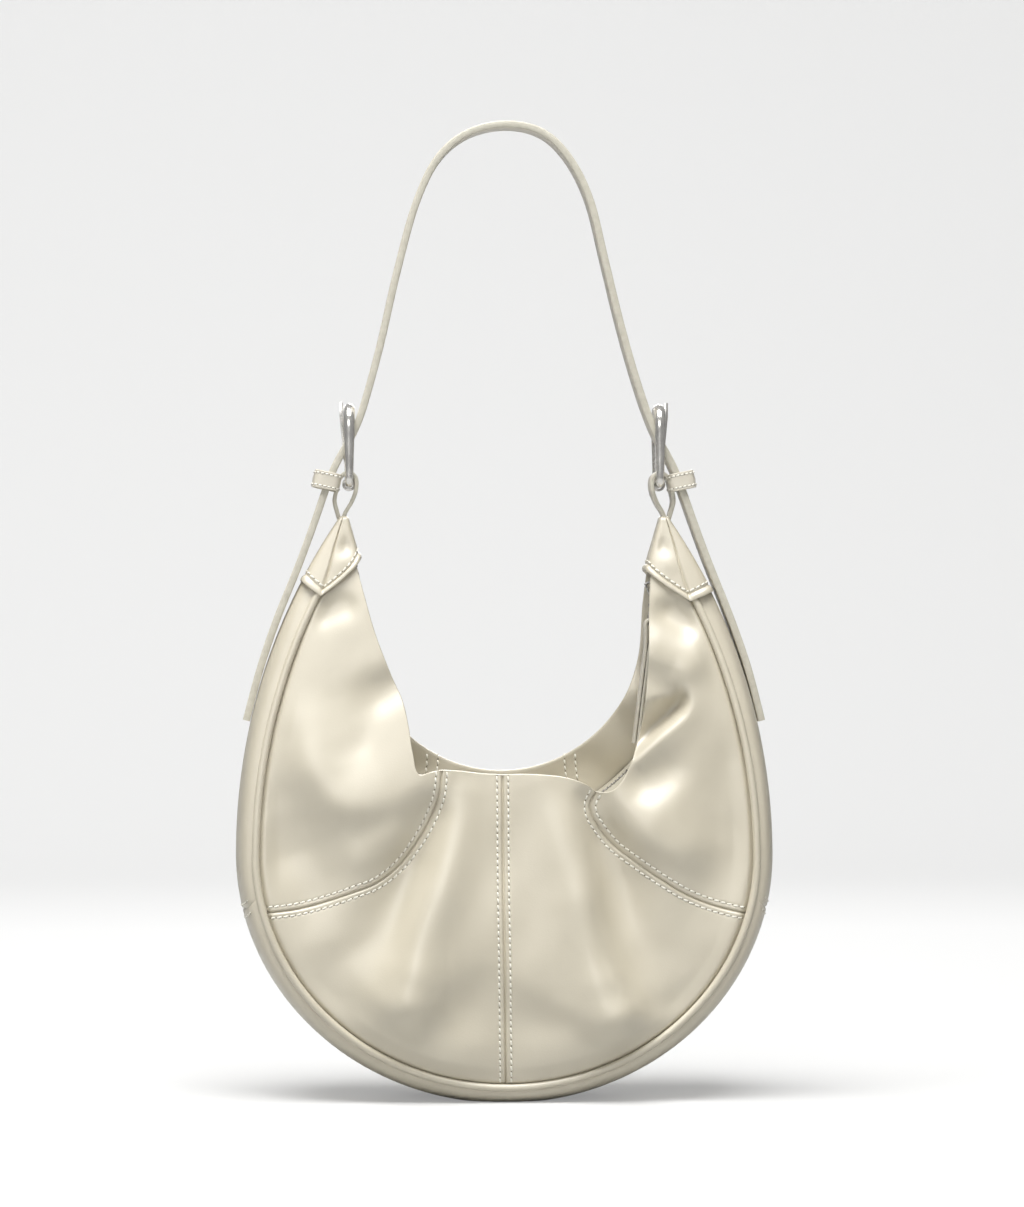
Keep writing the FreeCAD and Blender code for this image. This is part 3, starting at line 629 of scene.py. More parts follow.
def closed_sheet(name, outer, inner):
    """Sheet of material between two grids of points, closed round its edges."""
    rows = np.concatenate([outer, inner[:, ::-1], outer[:, :1]], axis=1)
    middle = (outer + inner) / 2
    ends = np.concatenate([middle, middle[:, ::-1], middle[:, :1]], axis=1)
    return closed_grid(name, np.concatenate([ends[:1], rows, ends[-1:]]), 60)


def tube(name, line, radius, sides):
    """Round tube along a line, closed at its ends."""
    run = unit(np.gradient(line, axis=0))
    side = np.cross(run[0], [0.0, 1.0, 0.0])
    turn = np.linspace(0, 2 * math.pi, sides + 1)[:, None]
    rows = [np.repeat(line[:1], sides + 1, axis=0)]
    for place, along in zip(line, run):
        side = unit(side - along * (side @ along))
        rows.append(place + radius * (np.cos(turn) * side + np.sin(turn) * np.cross(along, side)))
    rows.append(np.repeat(line[-1:], sides + 1, axis=0))
    return closed_grid(name, rows, 60)


def strip(name, line, half_widths, thickness, edge):
    """Flat strap along a line in X and Z, as wide as given along Y, with rounded edges."""
    run = unit(np.gradient(line, axis=0))
    half = thickness / 2
    cut = 0.3 * edge
    rows = []
    for (x, z), (run_x, run_z), wide in zip(line, run, np.broadcast_to(half_widths, (len(line),))):
        section = [
            (-wide + edge, -half), (0.0, -half), (wide - edge, -half), (wide - cut, -half + cut),
            (wide, -half + edge), (wide, half - edge), (wide - cut, half - cut),
        ]
        section += [(-y, -out) for y, out in section]
        section.append(section[0])
        rows.append([(x - run_z * out, y, z + run_x * out) for y, out in section])
    ends = [[(x, 0.0, z)] * len(rows[0]) for x, z in (line[0], line[-1])]
    return closed_grid(name, [ends[0]] + rows + [ends[1]], 50)


def taken_apart(piece):
    """Points and faces of a shape that serves only as a pattern and is then removed."""
    points = np.array([vertex.co for vertex in piece.data.vertices])
    faces = [list(face.vertices) for face in piece.data.polygons]
    bpy.data.objects.remove(piece)
    return points, faces


def from_points(name, points, polygons):
    """Piece from groups of points in millimetres and the polygons between them."""
    mesh = bpy.data.meshes.new(name)
    mesh.from_pydata([tuple(point * mm) for point in np.concatenate(points)], [], polygons)
    return linked(name, mesh)


def finish_piece(piece, body, material, slot, *nodes):
    piece.data.materials.clear()
    piece.data.materials.append(material)
    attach(piece, body)
    if nodes:
        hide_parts(*nodes)


def paint_edges(piece, material, limit=0.72):
    """Gives the faces that look along Y the second finish."""
    piece.data.materials.append(material)
    for face in piece.data.polygons:
        if abs(face.normal.y) > limit:
            face.material_index = 1


def softened(name, node, bevel, body, material, slot):
    """Copy of a CAD piece with its edges rounded."""
    piece = linked(name, frame["nodes"][node].data.copy())
    weld(piece, 0.002)
    edit_all(piece, bpy.ops.mesh.dissolve_limited, angle_limit=math.radians(0.5))
    modify(
        piece, "BEVEL", width=bevel * mm, segments=3, limit_method="ANGLE",
        angle_limit=math.radians(35), use_clamp_overlap=True, harden_normals=False,
    )
    smooth(piece, 40)
    finish_piece(piece, body, material, slot, node)


# Panels, facings and piping


def patch(top, bottom, left, right, columns, rows):
    """Grid between four edge lines: top and bottom run from left to right, left and right from top down."""
    top, bottom = crowded(top, columns), crowded(bottom, columns)
    left, right = crowded(left, rows), crowded(right, rows)
    u = np.linspace(0, 1, columns)[None, :, None]
    v = np.linspace(0, 1, rows)[:, None, None]
    ruled = (1 - v) * top[None] + v * bottom[None] + (1 - u) * left[:, None] + u * right[:, None]
    corners = (
        (1 - u) * (1 - v) * top[0] + u * (1 - v) * top[-1]
        + (1 - u) * v * bottom[0] + u * v * bottom[-1]
    )
    return ruled - corners


def part_of_edge(start, end):
    """Stretch of the panels' outer edge between its points nearest to two places."""
    line = outline(piping_inset + panel_edge_gap, panel_top, 900)
    first, last = [np.argmin(np.linalg.norm(line - np.array(place), axis=1)) for place in (start, end)]
    if first <= last:
        return line[first:last + 1]
    return line[last:first + 1][::-1]


def panel_grids(side):
    """Grids of the four panels of one side, by name."""
    if side < 0:
        rims = [smooth_line(rim, count) for rim, count in zip(front_rims, (220, 60, 60, 220))]
        rims[3] = rims[3][::-1]
    else:
        halves = [mouth_arc(-back_seam_half, 0.0, 60), mouth_arc(0.0, back_seam_half, 60)]
        rims = [horn_rim(-1), *halves, horn_rim(1)]
    seam_left, seam_right, centre = seams[side]
    grids = {}
    for sign, seam, rim, middle in (
        (-1, seam_left, rims[0], rims[1]),
        (1, seam_right, rims[3], rims[2][::-1]),
    ):
        word = hand_names[sign]
        edge = part_of_edge((sign * panel_top_half, panel_top), seam[0])
        seam = np.concatenate([edge[-1:], seam[1:]])
        top = np.array([rim[0], edge[0]])
        grids["upper_" + word + "_panel"] = patch(top, seam[::-1], rim, edge, 110, 150)
        low_edge = part_of_edge(seam[0], centre[-1])
        foot = np.concatenate([centre[:-1], low_edge[-1:]])
        grids["lower_" + word + "_panel"] = patch(seam, foot[::-1], low_edge, middle, 120, 130)
    return grids


def panels(side, material):
    word = side_names[side]
    for name, grid in panel_grids(side).items():
        x, z = grid[..., 0], grid[..., 1]
        depth = sewn_skin(side, x, z)
        outer = placed(x, side * depth, z)
        inner = placed(x, side * (depth - leather), z)
        piece = closed_sheet(word + "_leather_" + name, outer, inner)
        finish_piece(piece, "bag", material, "body_leather", word + "_" + name)


def facing(side, material):
    """Rolled lip of the rim and the leather turned inside below it."""
    rim = rim_line(side)
    rim_x, rim_z = rim.T
    inward = unit(np.array([0.0, mouth_height]) - rim)
    base = side * bare_skin(side, rim_x, rim_z)
    room = facing_share * (edge_distance(rim_x, rim_z) - piping_inset)
    room = np.clip(room, facing_least, facing_reach)
    shown, hidden = [], []
    for turn in np.linspace(0, math.pi, 9):
        x, z = (rim + inward * lip_rise * math.sin(turn)).T
        shown.append(placed(x, base - side * lip_radius * (1 - math.cos(turn)), z))
        hidden.append(placed(rim_x, base - side * (lip_radius + facing_gap * math.sin(turn)), rim_z))
    for share in np.linspace(0.04, 1, 26):
        reach = room * share
        x, z = (rim - inward * reach[:, None]).T
        depth = bare_skin(side, x, z) - 2 * lip_radius - facing_gap * eased(reach / facing_gap_run)
        depth = side * np.maximum(depth, facing_least_depth)
        shown.append(placed(x, depth, z))
        hidden.append(placed(x, depth + side * facing_thickness, z))
    word = side_names[side]
    piece = closed_sheet(word + "_turned_facing", np.array(shown), np.array(hidden))
    finish_piece(piece, "bag", material, "body_leather", word + "_facing")


def piping(side, material):
    x, z = outline(piping_inset, piping_top, 420).T
    word = side_names[side]
    line = placed(x, side * (side_depth(z) - piping_sink), z)
    piece = tube(word + "_corded_piping", line, piping_radius, 14)
    finish_piece(piece, "bag", material, "body_leather", word + "_piping")


# Gusset


def gusset_grid(along_count=700, across_count=41):
    """Grid of gusset points: along the crescent by across the depth, with rounded edges."""
    across = np.linspace(-1, 1, across_count)
    across = np.sign(across) * (1 - (1 - np.abs(across)) ** gusset_crowding)
    columns = []
    for share in across:
        fall = 1 - (1 - abs(share) ** gusset_roundness) ** (1 / gusset_roundness)
        inset = gusset_edge_inset * fall - gusset_crown * (1 - share**2)
        x, z = outline(inset, gusset_top, along_count).T
        columns.append(placed(x, share * (side_depth(z) - gusset_side_gap), np.maximum(z, 0.0)))
    return np.stack(columns, axis=1)


def gusset(material):
    """The strip between front and back in three parts; gives the stitching beside its cross seams."""
    grid = gusset_grid()
    low = grid[:, grid.shape[1] // 2, 2] < gusset_seam_height
    first = int(np.argmax(low))
    last = len(low) - int(np.argmax(low[::-1]))
    spans = {"left": (0, first), "base": (first - 1, last + 1), "right": (last, len(low))}
    for word, (start, end) in spans.items():
        part = grid[start:end].copy()
        for row in (0, -1):
            inward = (np.array(gusset_middle) - part[row]) * [1, 0, 1]
            part[row] += unit(inward) * gusset_seam_tuck
        piece = grid_sheet("leather_gusset_" + word, part)
        face_away(piece, (0.0, 0.0, middle_height * mm))
        thicken(piece, leather, -1.0)
        smooth(piece, 70)
        finish_piece(piece, "bag", material, "body_leather", "gusset_" + word)
    margin = 3
    rows = []
    for index in (first - margin, first + margin, last - margin, last + margin):
        line = grid[index, margin:-margin]
        rows.append((line, unit(line * [1.0, 0.0, 0.0])))
    return rows


# Horn caps: places across a cap are shares of its width, from its inner edge
cap_proud = 1.5
cap_squareness = 0.4
cap_over_top = 0.4
cap_inner_edge = ([284.0, 308.0, 336.5], [80.4, 82.2, 90.4])
cap_side_room = ([300.0, 322.0, 336.0], [2.5, 1.8, 1.2])
cap_seam_share = 0.62
cap_seam_width_share = 0.018
cap_seam_depth = 1.6
cap_seam_start = 4.0
cap_crown = [(0.75, 0.8), (0.4, 1.3), (0.0, 1.4)]

# Creases of a cap: share across and its spread, height and its spread, and how far they stand out
cap_creases = [(0.42, 0.2, 310.0, 6.0, 1.0), (0.3, 0.16, 320.0, 5.0, -1.6)]

# Hem of a cap, measured up from its lower edge
hem_rises = [0.5, 0.0, 0.2, 0.7, 1.5, 2.3, 2.9, 3.4, 3.9, 4.5, 5.6]
hem_row = 10
hem_proud = 0.9
hem_middle = 1.5
hem_spread = 1.75
hem_groove_rise = 3.9
hem_groove_depth = 0.5
hem_groove_width = 0.5
hem_tuck = 2.4


def cap_sides(z, over_top=2.0):
    """Inner edge, outer edge and half depth of a cap at each height, measured from the bag's middle."""
    inside = np.minimum(z, cap_top + over_top)
    depth = side_depth(inside) + np.interp(z, *cap_side_room)
    return np.interp(z, *cap_inner_edge), outer_half(inside) + cap_proud, depth


def horn_cap(sign, inner_height, point_height, outer_height, material):
    """Folded cap over a horn's tip with a turned hem on its pointed lower edge; gives the hem's stitches."""
    round_x, round_y = evenly(squared_ring(4001, cap_squareness), 193).T
    share = (round_x + 1) / 2
    low = np.interp(share, [0.0, cap_seam_share, 1.0], [inner_height, point_height, outer_height])
    hem_top = hem_rises[-1]
    heights = [low + rise for rise in hem_rises]
    heights += [low + hem_top + part * (cap_top + cap_over_top - low - hem_top)
                for part in np.linspace(0, 1, 26)[1:]]
    rows = []
    for height in heights:
        inner, outer, depth = cap_sides(height)
        rise = height - low
        hem = hem_proud * bell(rise - hem_middle, hem_spread, 4)
        hem = hem - hem_groove_depth * bell(rise - hem_groove_rise, hem_groove_width)
        if not rows:
            hem = hem - hem_tuck
        seam = bell(share - cap_seam_share, cap_seam_width_share) * np.clip(rise / cap_seam_start, 0, 1)
        relief = -cap_seam_depth * seam
        for at, wide, level, tall, out in cap_creases:
            relief = relief + out * bell(share - at, wide) * bell(height - level, tall)
        swell = hem + np.abs(round_y) * relief
        half = (outer - inner) / 2 + hem * np.abs(round_x)
        x = (outer + inner) / 2 + half * round_x
        rows.append(placed(sign * x, (depth + swell) * round_y, height))
    grid = np.array(rows)
    normals = np.cross(np.gradient(grid, axis=1), np.gradient(grid, axis=0))
    if (normals[..., 1] * grid[..., 1]).sum() < 0:
        normals = -normals
    top = rows[-1].mean(axis=0)
    for part, lift in cap_crown:
        rows.append(top + (grid[-1] - top) * part + np.array([0, 0, lift]))
    word = hand_names[sign]
    piece = closed_grid("folded_cap_" + word, rows, 60)
    finish_piece(piece, "bag", material, "body_leather", "horn_cap_" + word)
    return grid[hem_row], unit(normals[hem_row])


# Strap, tabs and keepers
strap_points = [
    (-149.8, 219.0), (-142.4, 247.0), (-132.0, 278.0), (-119.8, 308.0), (-108.5, 339.0), (-102.0, 358.0),
    (-97.0, 370.0), (-90.5, 380.0), (-84.8, 392.0), (-79.0, 411.0), (-72.8, 434.0), (-62.0, 481.0),
    (-48.5, 527.0), (-40.5, 543.5), (-26.5, 557.5), (-2.0, 565.3), (23.0, 560.6), (39.0, 544.0),
    (47.5, 527.5), (58.0, 488.0), (67.0, 451.0), (76.0, 419.0), (84.8, 393.0), (90.5, 380.0), (97.0, 369.5),
    (102.0, 357.0), (108.0, 340.0), (119.0, 310.0), (129.5, 284.0), (141.9, 249.0), (149.8, 218.5),
]
strap_half_width = 10.0
strap_thickness = 4.2
strap_edge = 0.7
tab_points = [
    (94.2, 334.5), (92.6, 339.0), (88.6, 346.0), (86.1, 353.5), (86.8, 360.3), (90.4, 363.0),
    (94.6, 360.6), (97.2, 353.5), (98.6, 346.0), (97.2, 340.0), (95.6, 334.5),
]
tab_foot_half_width = 5.2
tab_widening = 3.6
tab_widening_run = 16.0
tab_thickness = 2.3
tab_edge = 0.5
keeper_centre = (103.2, 358.0)
keeper_lean = math.radians(12.0)
keeper_half_x = 7.4
keeper_half_y = 11.6
keeper_half_z = 5.2
keeper_wall = 1.5
keeper_squareness = 0.42
keeper_edge = 0.4
keeper_edge_flat = 0.2
keeper_row_inset = 1.7
keeper_row_sink = 0.15
keeper_crown = 0.2


def strap_path(reach=4, passes=3):
    """Centre line of the whole strap, with its bends eased."""
    line = evenly(smooth_line(strap_points, 700), 560)
    for _ in range(passes):
        calm = line.copy()
        for shift in range(1, reach + 1):
            calm[reach:-reach] += line[reach - shift:-reach - shift]
            calm[reach:-reach] += line[reach + shift:len(line) - reach + shift]
        calm[reach:-reach] /= 2 * reach + 1
        line = calm
    return line


def strap(material, edge_material):
    piece = strip("buckled_strap", strap_path(), strap_half_width, strap_thickness, strap_edge)
    finish_piece(piece, "handle", material, "strap_leather", "strap")
    paint_edges(piece, edge_material)


def tab(sign, material, edge_material):
    """Leather loop from the cap's tip over the buckle's bar."""
    word = hand_names[sign]
    line = smooth_line(mirrored(tab_points, sign), 120)
    widening = tab_widening * np.clip((line[:, 1] - cap_top) / tab_widening_run, 0, 1)
    piece = strip("buckle_loop_" + word, line, tab_foot_half_width + widening, tab_thickness, tab_edge)
    piece.data.materials.append(material)
    paint_edges(piece, edge_material)
    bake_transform(piece)
    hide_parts("buckle_tab_" + word)


def keeper_section():
    """Section of a keeper's band: distance out from the middle of its wall, and rise."""
    half, tall = keeper_wall / 2, keeper_half_z
    lower = [
        (-half, -tall + keeper_edge), (-keeper_edge_flat, -tall), (keeper_edge_flat, -tall),
        (half, -tall + keeper_edge), (half - keeper_row_sink, -tall + keeper_row_inset),
    ]
    upper = [(out, -rise) for out, rise in reversed(lower)]
    return lower + [(half + keeper_crown, 0.0)] + upper + lower[:1]


def keeper(sign, material):
    """Band round the strap's tail and the outer leg of the loop; gives its two rows of stitching."""
    cos, sin = math.cos(keeper_lean), math.sin(keeper_lean)
    halves = np.array([keeper_half_x, keeper_half_y])
    rows = []
    for ring in squared_ring(81, keeper_squareness):
        out = unit(ring / halves)
        row = []
        for thick, rise in keeper_section():
            x, y = ring * halves + out * thick
            row.append((
                sign * (keeper_centre[0] + x * cos - rise * sin),
                y,
                keeper_centre[1] + x * sin + rise * cos,
            ))
        rows.append(row)
    word = hand_names[sign]
    piece = closed_grid("stitched_keeper_" + word, rows, 50)
    finish_piece(piece, "handle", material, "strap_leather", "strap_keeper_" + word)
    lower_row, middle_row, upper_row = np.array(rows)[:, 4:7].transpose(1, 0, 2)
    tilt = np.array([-sign * sin, 0.0, cos])
    out = middle_row - middle_row.mean(axis=0)
    out = unit(out - np.outer(out @ tilt, tilt))
    return [(lower_row, out), (upper_row, out)]


# Buckles
buckle_centre = 90.233
buckle_half_width = 13.8
buckle_foot = 356.2
buckle_head = 399.8
buckle_head_corner = 10.5
buckle_foot_corner = 3.0
buckle_bar_half = 2.2
buckle_head_widening = 0.8
buckle_head_share = 0.2
buckle_foot_thickness = 2.3
buckle_thickening = 0.9


def buckle(sign, material):
    """Oval frame: a rounded bar bent into a loop, thicker towards its head."""
    foot_centre = (buckle_half_width - buckle_foot_corner, buckle_foot + buckle_foot_corner)
    head_centre = (buckle_half_width - buckle_head_corner, buckle_head - buckle_head_corner)
    half = arc(foot_centre, buckle_foot_corner, -90, 0, 8) + arc(head_centre, buckle_head_corner, 0, 90, 14)
    loop = half + mirrored(reversed(half), -1)
    line = evenly(loop + loop[:1], 161)[:-1]
    run = unit(np.roll(line, -1, axis=0) - np.roll(line, 1, axis=0))
    rise = (line[:, 1] - buckle_foot) / (buckle_head - buckle_foot)
    wide = buckle_bar_half + buckle_head_widening * eased((rise - 1 + buckle_head_share) / buckle_head_share)
    thick = buckle_foot_thickness + buckle_thickening * eased(rise)
    rows = []
    for angle in np.linspace(0, 2 * math.pi, 21):
        out = wide * math.cos(angle)
        x = sign * (buckle_centre + thick * math.sin(angle))
        rows.append(placed(x, line[:, 0] + out * run[:, 1], line[:, 1] - out * run[:, 0]))
    grid = np.array(rows)
    word = hand_names[sign]
    piece = closed_grid("oval_buckle_" + word, np.concatenate([grid, grid[:, :1]], axis=1), 60)
    finish_piece(piece, "handle", material, "buckle_nickel", "buckle_frame_" + word)


# Zip: its end and the room there are angles in degrees, past the level of its centre
zip_centre_height = 258.0
zip_radius = 100.1
zip_end = 29.0
zip_end_room = 1.5
tooth_reach = 3.2
tooth_middle = 2.0
tooth_pitch = 3.0
tooth_size = (2.4, 2.4, 1.3)
tooth_bevel_share = 0.16
tape_thickness = 0.7
tape_under_teeth = 1.0
tape_below_rim = 7.0
tape_behind_leather = 5.2
tape_sag = 0.5
tape_waves = 23


def tape_edge(side, turn, window=0.06):
    """Radius at which a tape meets the leather: the zip's own, or lower where the rim dips."""
    x, z = (rim_line(side) - np.array([0.0, zip_centre_height])).T
    angles = np.arctan2(-z, x)
    reach = np.hypot(x, z)
    edge = np.array([np.max(reach[np.abs(angles - a) < window], initial=0.0) for a in turn])
    return np.maximum(edge + tape_below_rim, zip_radius)


def zip_tape(side, material):
    """Woven tape from the teeth out to the leather behind the rim."""
    turn = np.radians(np.linspace(180 + zip_end, -zip_end, 200))
    edge = tape_edge(side, turn)
    near = tooth_reach - tape_under_teeth
    far = bare_skin(side, edge * np.cos(turn), zip_centre_height - edge * np.sin(turn)) - tape_behind_leather
    far = np.maximum(far, tooth_reach + tape_under_teeth)
    rows = []
    for share in np.linspace(0, 1, 14):
        sag = tape_sag * math.sin(share * math.pi) * (1 + 0.5 * np.sin(turn * tape_waves))
        radius = zip_radius + (edge - zip_radius) * share**1.5 + sag
        x, z = radius * np.cos(turn), zip_centre_height - radius * np.sin(turn)
        behind = np.maximum(bare_skin(side, x, z) - tape_behind_leather, tooth_reach)
        rows.append(placed(x, np.clip(side * (near + (far - near) * share), -behind, behind), z))
    word = side_names[side]
    piece = grid_sheet("woven_tape_" + word, np.array(rows))
    thicken(piece, tape_thickness, 0.0)
    smooth(piece, 60)
    finish_piece(piece, "bag", material, "zip_tape", "zip_tape_" + word)


def zip_teeth(side, material):
    """Rounded metal teeth along one tape."""
    bpy.ops.mesh.primitive_cube_add(size=1)
    modify(bpy.context.object, "BEVEL", width=tooth_bevel_share, segments=1, limit_method="NONE")
    shape, faces = taken_apart(bpy.context.object)
    first = zip_end - zip_end_room
    pitch = math.degrees(tooth_pitch / zip_radius)
    points, polygons = [], []
    for i in range(int((180 + 2 * first) / pitch)):
        angle = math.radians(first - pitch * (i + 0.25 * (1 + side)))
        out = np.array([math.cos(angle), 0, math.sin(angle)])
        along = np.array([-math.sin(angle), 0, math.cos(angle)])
        centre = np.array([0, side * tooth_middle, zip_centre_height]) + out * zip_radius
        polygons += [[v + i * len(shape) for v in face] for face in faces]
        points.append(centre + (shape * tooth_size) @ np.array([out, [0, 1, 0], along]))
    word = side_names[side]
    piece = from_points("metal_teeth_" + word, points, polygons)
    face_out(piece)
    smooth(piece, 30)
    finish_piece(piece, "bag", material, "zip_metal", "zip_teeth_" + word)


# Lining: arcs of its upper and lower edge, and its distances from the leather
lining_turn = 1.12
lining_upper_radius = 118.0
lining_upper_height = 262.0
lining_lower_turn = 1.2
lining_lower_radii = (138.0, 128.0)
lining_lower_height = 148.0
lining_behind_leather = 7.0
lining_least_depth = 3.0
lining_gusset_inset = 7.0
lining_gusset_top = 240.0
lining_gusset_share = 0.9
lining_gusset_gap = 6.0


def lining(material):
    """Cloth lining hung inside: front, back and the strip between them."""
    turn = np.linspace(-lining_turn, lining_turn, 90)
    upper_z = lining_upper_height - lining_upper_radius * np.cos(turn)
    upper = np.stack([lining_upper_radius * np.sin(turn), upper_z], axis=1)
    turn = turn * lining_lower_turn
    lower_z = lining_lower_height - lining_lower_radii[1] * np.cos(turn)
    lower = np.stack([lining_lower_radii[0] * np.sin(turn), lower_z], axis=1)
    for side, word in side_names.items():
        rows = []
        for share in np.linspace(0, 1, 40):
            x, z = (upper + (lower - upper) * share).T
            depth = np.maximum(bare_skin(side, x, z) - lining_behind_leather, lining_least_depth)
            rows.append(placed(x, side * depth, z))
        piece = grid_sheet("lining_cloth_" + word, np.array(rows))
        smooth(piece, 60)
        finish_piece(piece, "bag", material, "lining_cloth", "lining_" + word)
    x, z = outline(lining_gusset_inset, lining_gusset_top, 200).T
    shares = np.linspace(-lining_gusset_share, lining_gusset_share, 16)
    rows = [placed(x, share * (side_depth(z) - lining_gusset_gap), z) for share in shares]
    piece = grid_sheet("lining_cloth_gusset", np.array(rows))
    smooth(piece, 60)
    finish_piece(piece, "bag", material, "lining_cloth", "lining_gusset")


# Pull: its bar is measured down from the pivot, the fold and the leg of its tab down from that bar
pull_pivot = (87.64, 294.13)
pull_lean = math.radians(7.035)
ring_radius = 4.3
ring_wire_radius = 0.85
pull_bar_down = 19.6
pull_fold_radius = 2.6
pull_leg = [(-1.0, 70.0), (-1.0, 30.0), (-1.15, 12.0), (-2.0, 4.5)]
pull_half_width = 6.0
pull_thickness = 1.5
pull_edge = 0.35


def on_pull(across, down):
    """Point of the hanging pull, in X and Z."""
    x = pull_pivot[0] + across * math.cos(pull_lean) - down * math.sin(pull_lean)
    z = pull_pivot[1] - across * math.sin(pull_lean) - down * math.cos(pull_lean)
    return x, z


def pull_ring(material):
    x, z = on_pull(0.0, ring_radius)
    bpy.ops.object.select_all(action="DESELECT")
    bpy.ops.mesh.primitive_torus_add(
        major_radius=ring_radius * mm, minor_radius=ring_wire_radius * mm, location=(x * mm, 0, z * mm),
        rotation=(0, math.radians(90), 0), major_segments=48, minor_segments=16)
    bpy.ops.object.transform_apply(location=True, rotation=True, scale=False)
    piece = bpy.context.object
    piece.name = "wire_ring"
    smooth(piece, 60)
    finish_piece(piece, "ring", material, "zip_metal", "pull_ring")


def pull_tab(material, edge_material):
    """Strip of leather folded over the clip's bar and hanging in two layers."""
    fold = arc((0.0, 0.0), pull_fold_radius, -180, 0, 13)
    points = pull_leg + fold + mirrored(reversed(pull_leg), -1)
    line = smooth_line([on_pull(across, pull_bar_down + down) for across, down in points], 200)
    piece = strip("folded_pull_tab", line, pull_half_width, pull_thickness, pull_edge)
    finish_piece(piece, "pull", material, "strap_leather", "pull_tab")
    paint_edges(piece, edge_material)


# Stitches


def stitch_shape():
    """One thread stitch: a slim bar along X with blunt ends."""
    bpy.ops.object.select_all(action="DESELECT")
    along_x = (0, math.radians(90), 0)
    bpy.ops.mesh.primitive_uv_sphere_add(segments=6, ring_count=5, radius=1, rotation=along_x)
    bpy.ops.object.transform_apply(location=False, rotation=True, scale=False)
    points, faces = taken_apart(bpy.context.object)
    points[:, 0] = np.sign(points[:, 0]) * np.abs(points[:, 0]) ** stitch_bluntness
    return points, faces


def sew(name, rows, body, material, hole_shade_material, pitch=stitch_pitch):
    """Stitches along rows, each row a line of places with the directions out of the leather."""
    shape, faces = stitch_shape()
    rise = shape[:, 2] * stitch_radius * stitch_flatness - stitch_bend * shape[:, 0] ** 2 + stitch_lift
    turn = np.linspace(0, 2 * math.pi, hole_sides + 1)[:hole_sides]
    points, polygons, hole_shade_faces = [], [], []
    start = 0
    for places, normals in rows:
        count = max(2, int(steps_of(places).sum() / pitch))
        both = evenly(np.concatenate([places, normals], axis=1), 4 * count + 1)
        for first, middle, last in zip(both[:-4:4], both[2::4], both[4::4]):
            normal = unit(middle[3:])
            along = last[:3] - first[:3]
            along = unit(along - normal * (along @ normal))
            across = np.cross(normal, along)
            slant = unit(along + stitch_slant * across)
            stitch = np.outer(shape[:, 0] * pitch * stitch_share, slant) + np.outer(rise, normal)
            stitch += np.outer(shape[:, 1] * stitch_radius, np.cross(normal, slant))
            # A flat disc at each needle hole, given a dark colour that is painted shade for the inside of the
            # hole.
            hole = np.outer(np.cos(turn), along) + np.outer(np.sin(turn), across)
            points += [middle[:3] + stitch, first[:3] + hole_lift * normal + hole_radius * hole]
            polygons += [[v + start for v in face] for face in faces]
            hole_shade_faces.append(len(polygons))
            start += len(shape)
            polygons.append(list(range(start, start + hole_sides)))
            start += hole_sides
    piece = from_points(name, points, polygons)
    smooth(piece, 60)
    finish_piece(piece, body, material, "body_leather")
    # The discs at the needle holes take the dark finish, painted shade for the holes.
    piece.data.materials.append(hole_shade_material)
    for index in hole_shade_faces:
        piece.data.polygons[index].material_index = 1


def both_sides(lines):
    """The lines of stitches on the two sides of each seam."""
    return [beside(line, offset) for line in lines for offset in (-row_offset, row_offset)]


def seam_rows(side):
    rows = []
    for line in both_sides(seams[side]):
        inside = edge_distance(*line.T) > piping_inset + row_end_gap
        rows.append(on_skin(side, line[inside], row_lift))
    return rows


def inner_rows():
    """Short rows inside the mouth, where the back's curved seams come over the rim."""
    rows = []
    for line in both_sides(seams[1][:2]):
        x, z = line[-inner_row_points:].T
        depth = bare_skin(1, x, z) - 2 * lip_radius - inner_row_lift
        rows.append((placed(x, depth, z), np.tile([0.0, -1.0, 0.0], (inner_row_points, 1))))
    return rows


# Finishes


def new_material(name):
    material = bpy.data.materials.new(name)
    material.use_nodes = True
    tree = material.node_tree
    place = tree.nodes.new("ShaderNodeTexCoord").outputs["Object"]
    return material, tree, tree.nodes["Principled BSDF"], place


def feed(tree, node, inputs):
    """Gives each input of a node a value, or links it to another node's output."""
    for key, given in inputs.items():
        if isinstance(given, bpy.types.NodeSocket):
            tree.links.new(given, node.inputs[key])
        else:
            node.inputs[key].default_value = given


def add_node(tree, kind, inputs, **settings):
    node = tree.nodes.new("ShaderNode" + kind)
    for key, value in settings.items():
        setattr(node, key, value)
    feed(tree, node, inputs)
    return node


def noise(tree, vector, scale, detail=2.0):
    inputs = {"Vector": vector, "Scale": scale, "Detail": detail}
    return add_node(tree, "TexNoise", inputs).outputs["Fac"]


def ranged(tree, value, low, high, start=0.3, end=0.7):
    """Value between a start and an end, spread between two others."""
    inputs = {"Value": value, "From Min": start, "From Max": end, "To Min": low, "To Max": high}
    return add_node(tree, "MapRange", inputs).outputs["Result"]


def product(tree, first, second):
    return add_node(tree, "Math", {0: first, 1: second}, operation="MULTIPLY").outputs[0]


def mixed(tree, share, dark, light):
    inputs = {"Factor": share, "A": (*dark, 1.0), "B": (*light, 1.0)}
    return add_node(tree, "Mix", inputs, data_type="RGBA").outputs["Result"]


def bumped(tree, height, strength, distance):
    inputs = {"Height": height, "Strength": strength, "Distance": distance}
    return add_node(tree, "Bump", inputs).outputs["Normal"]


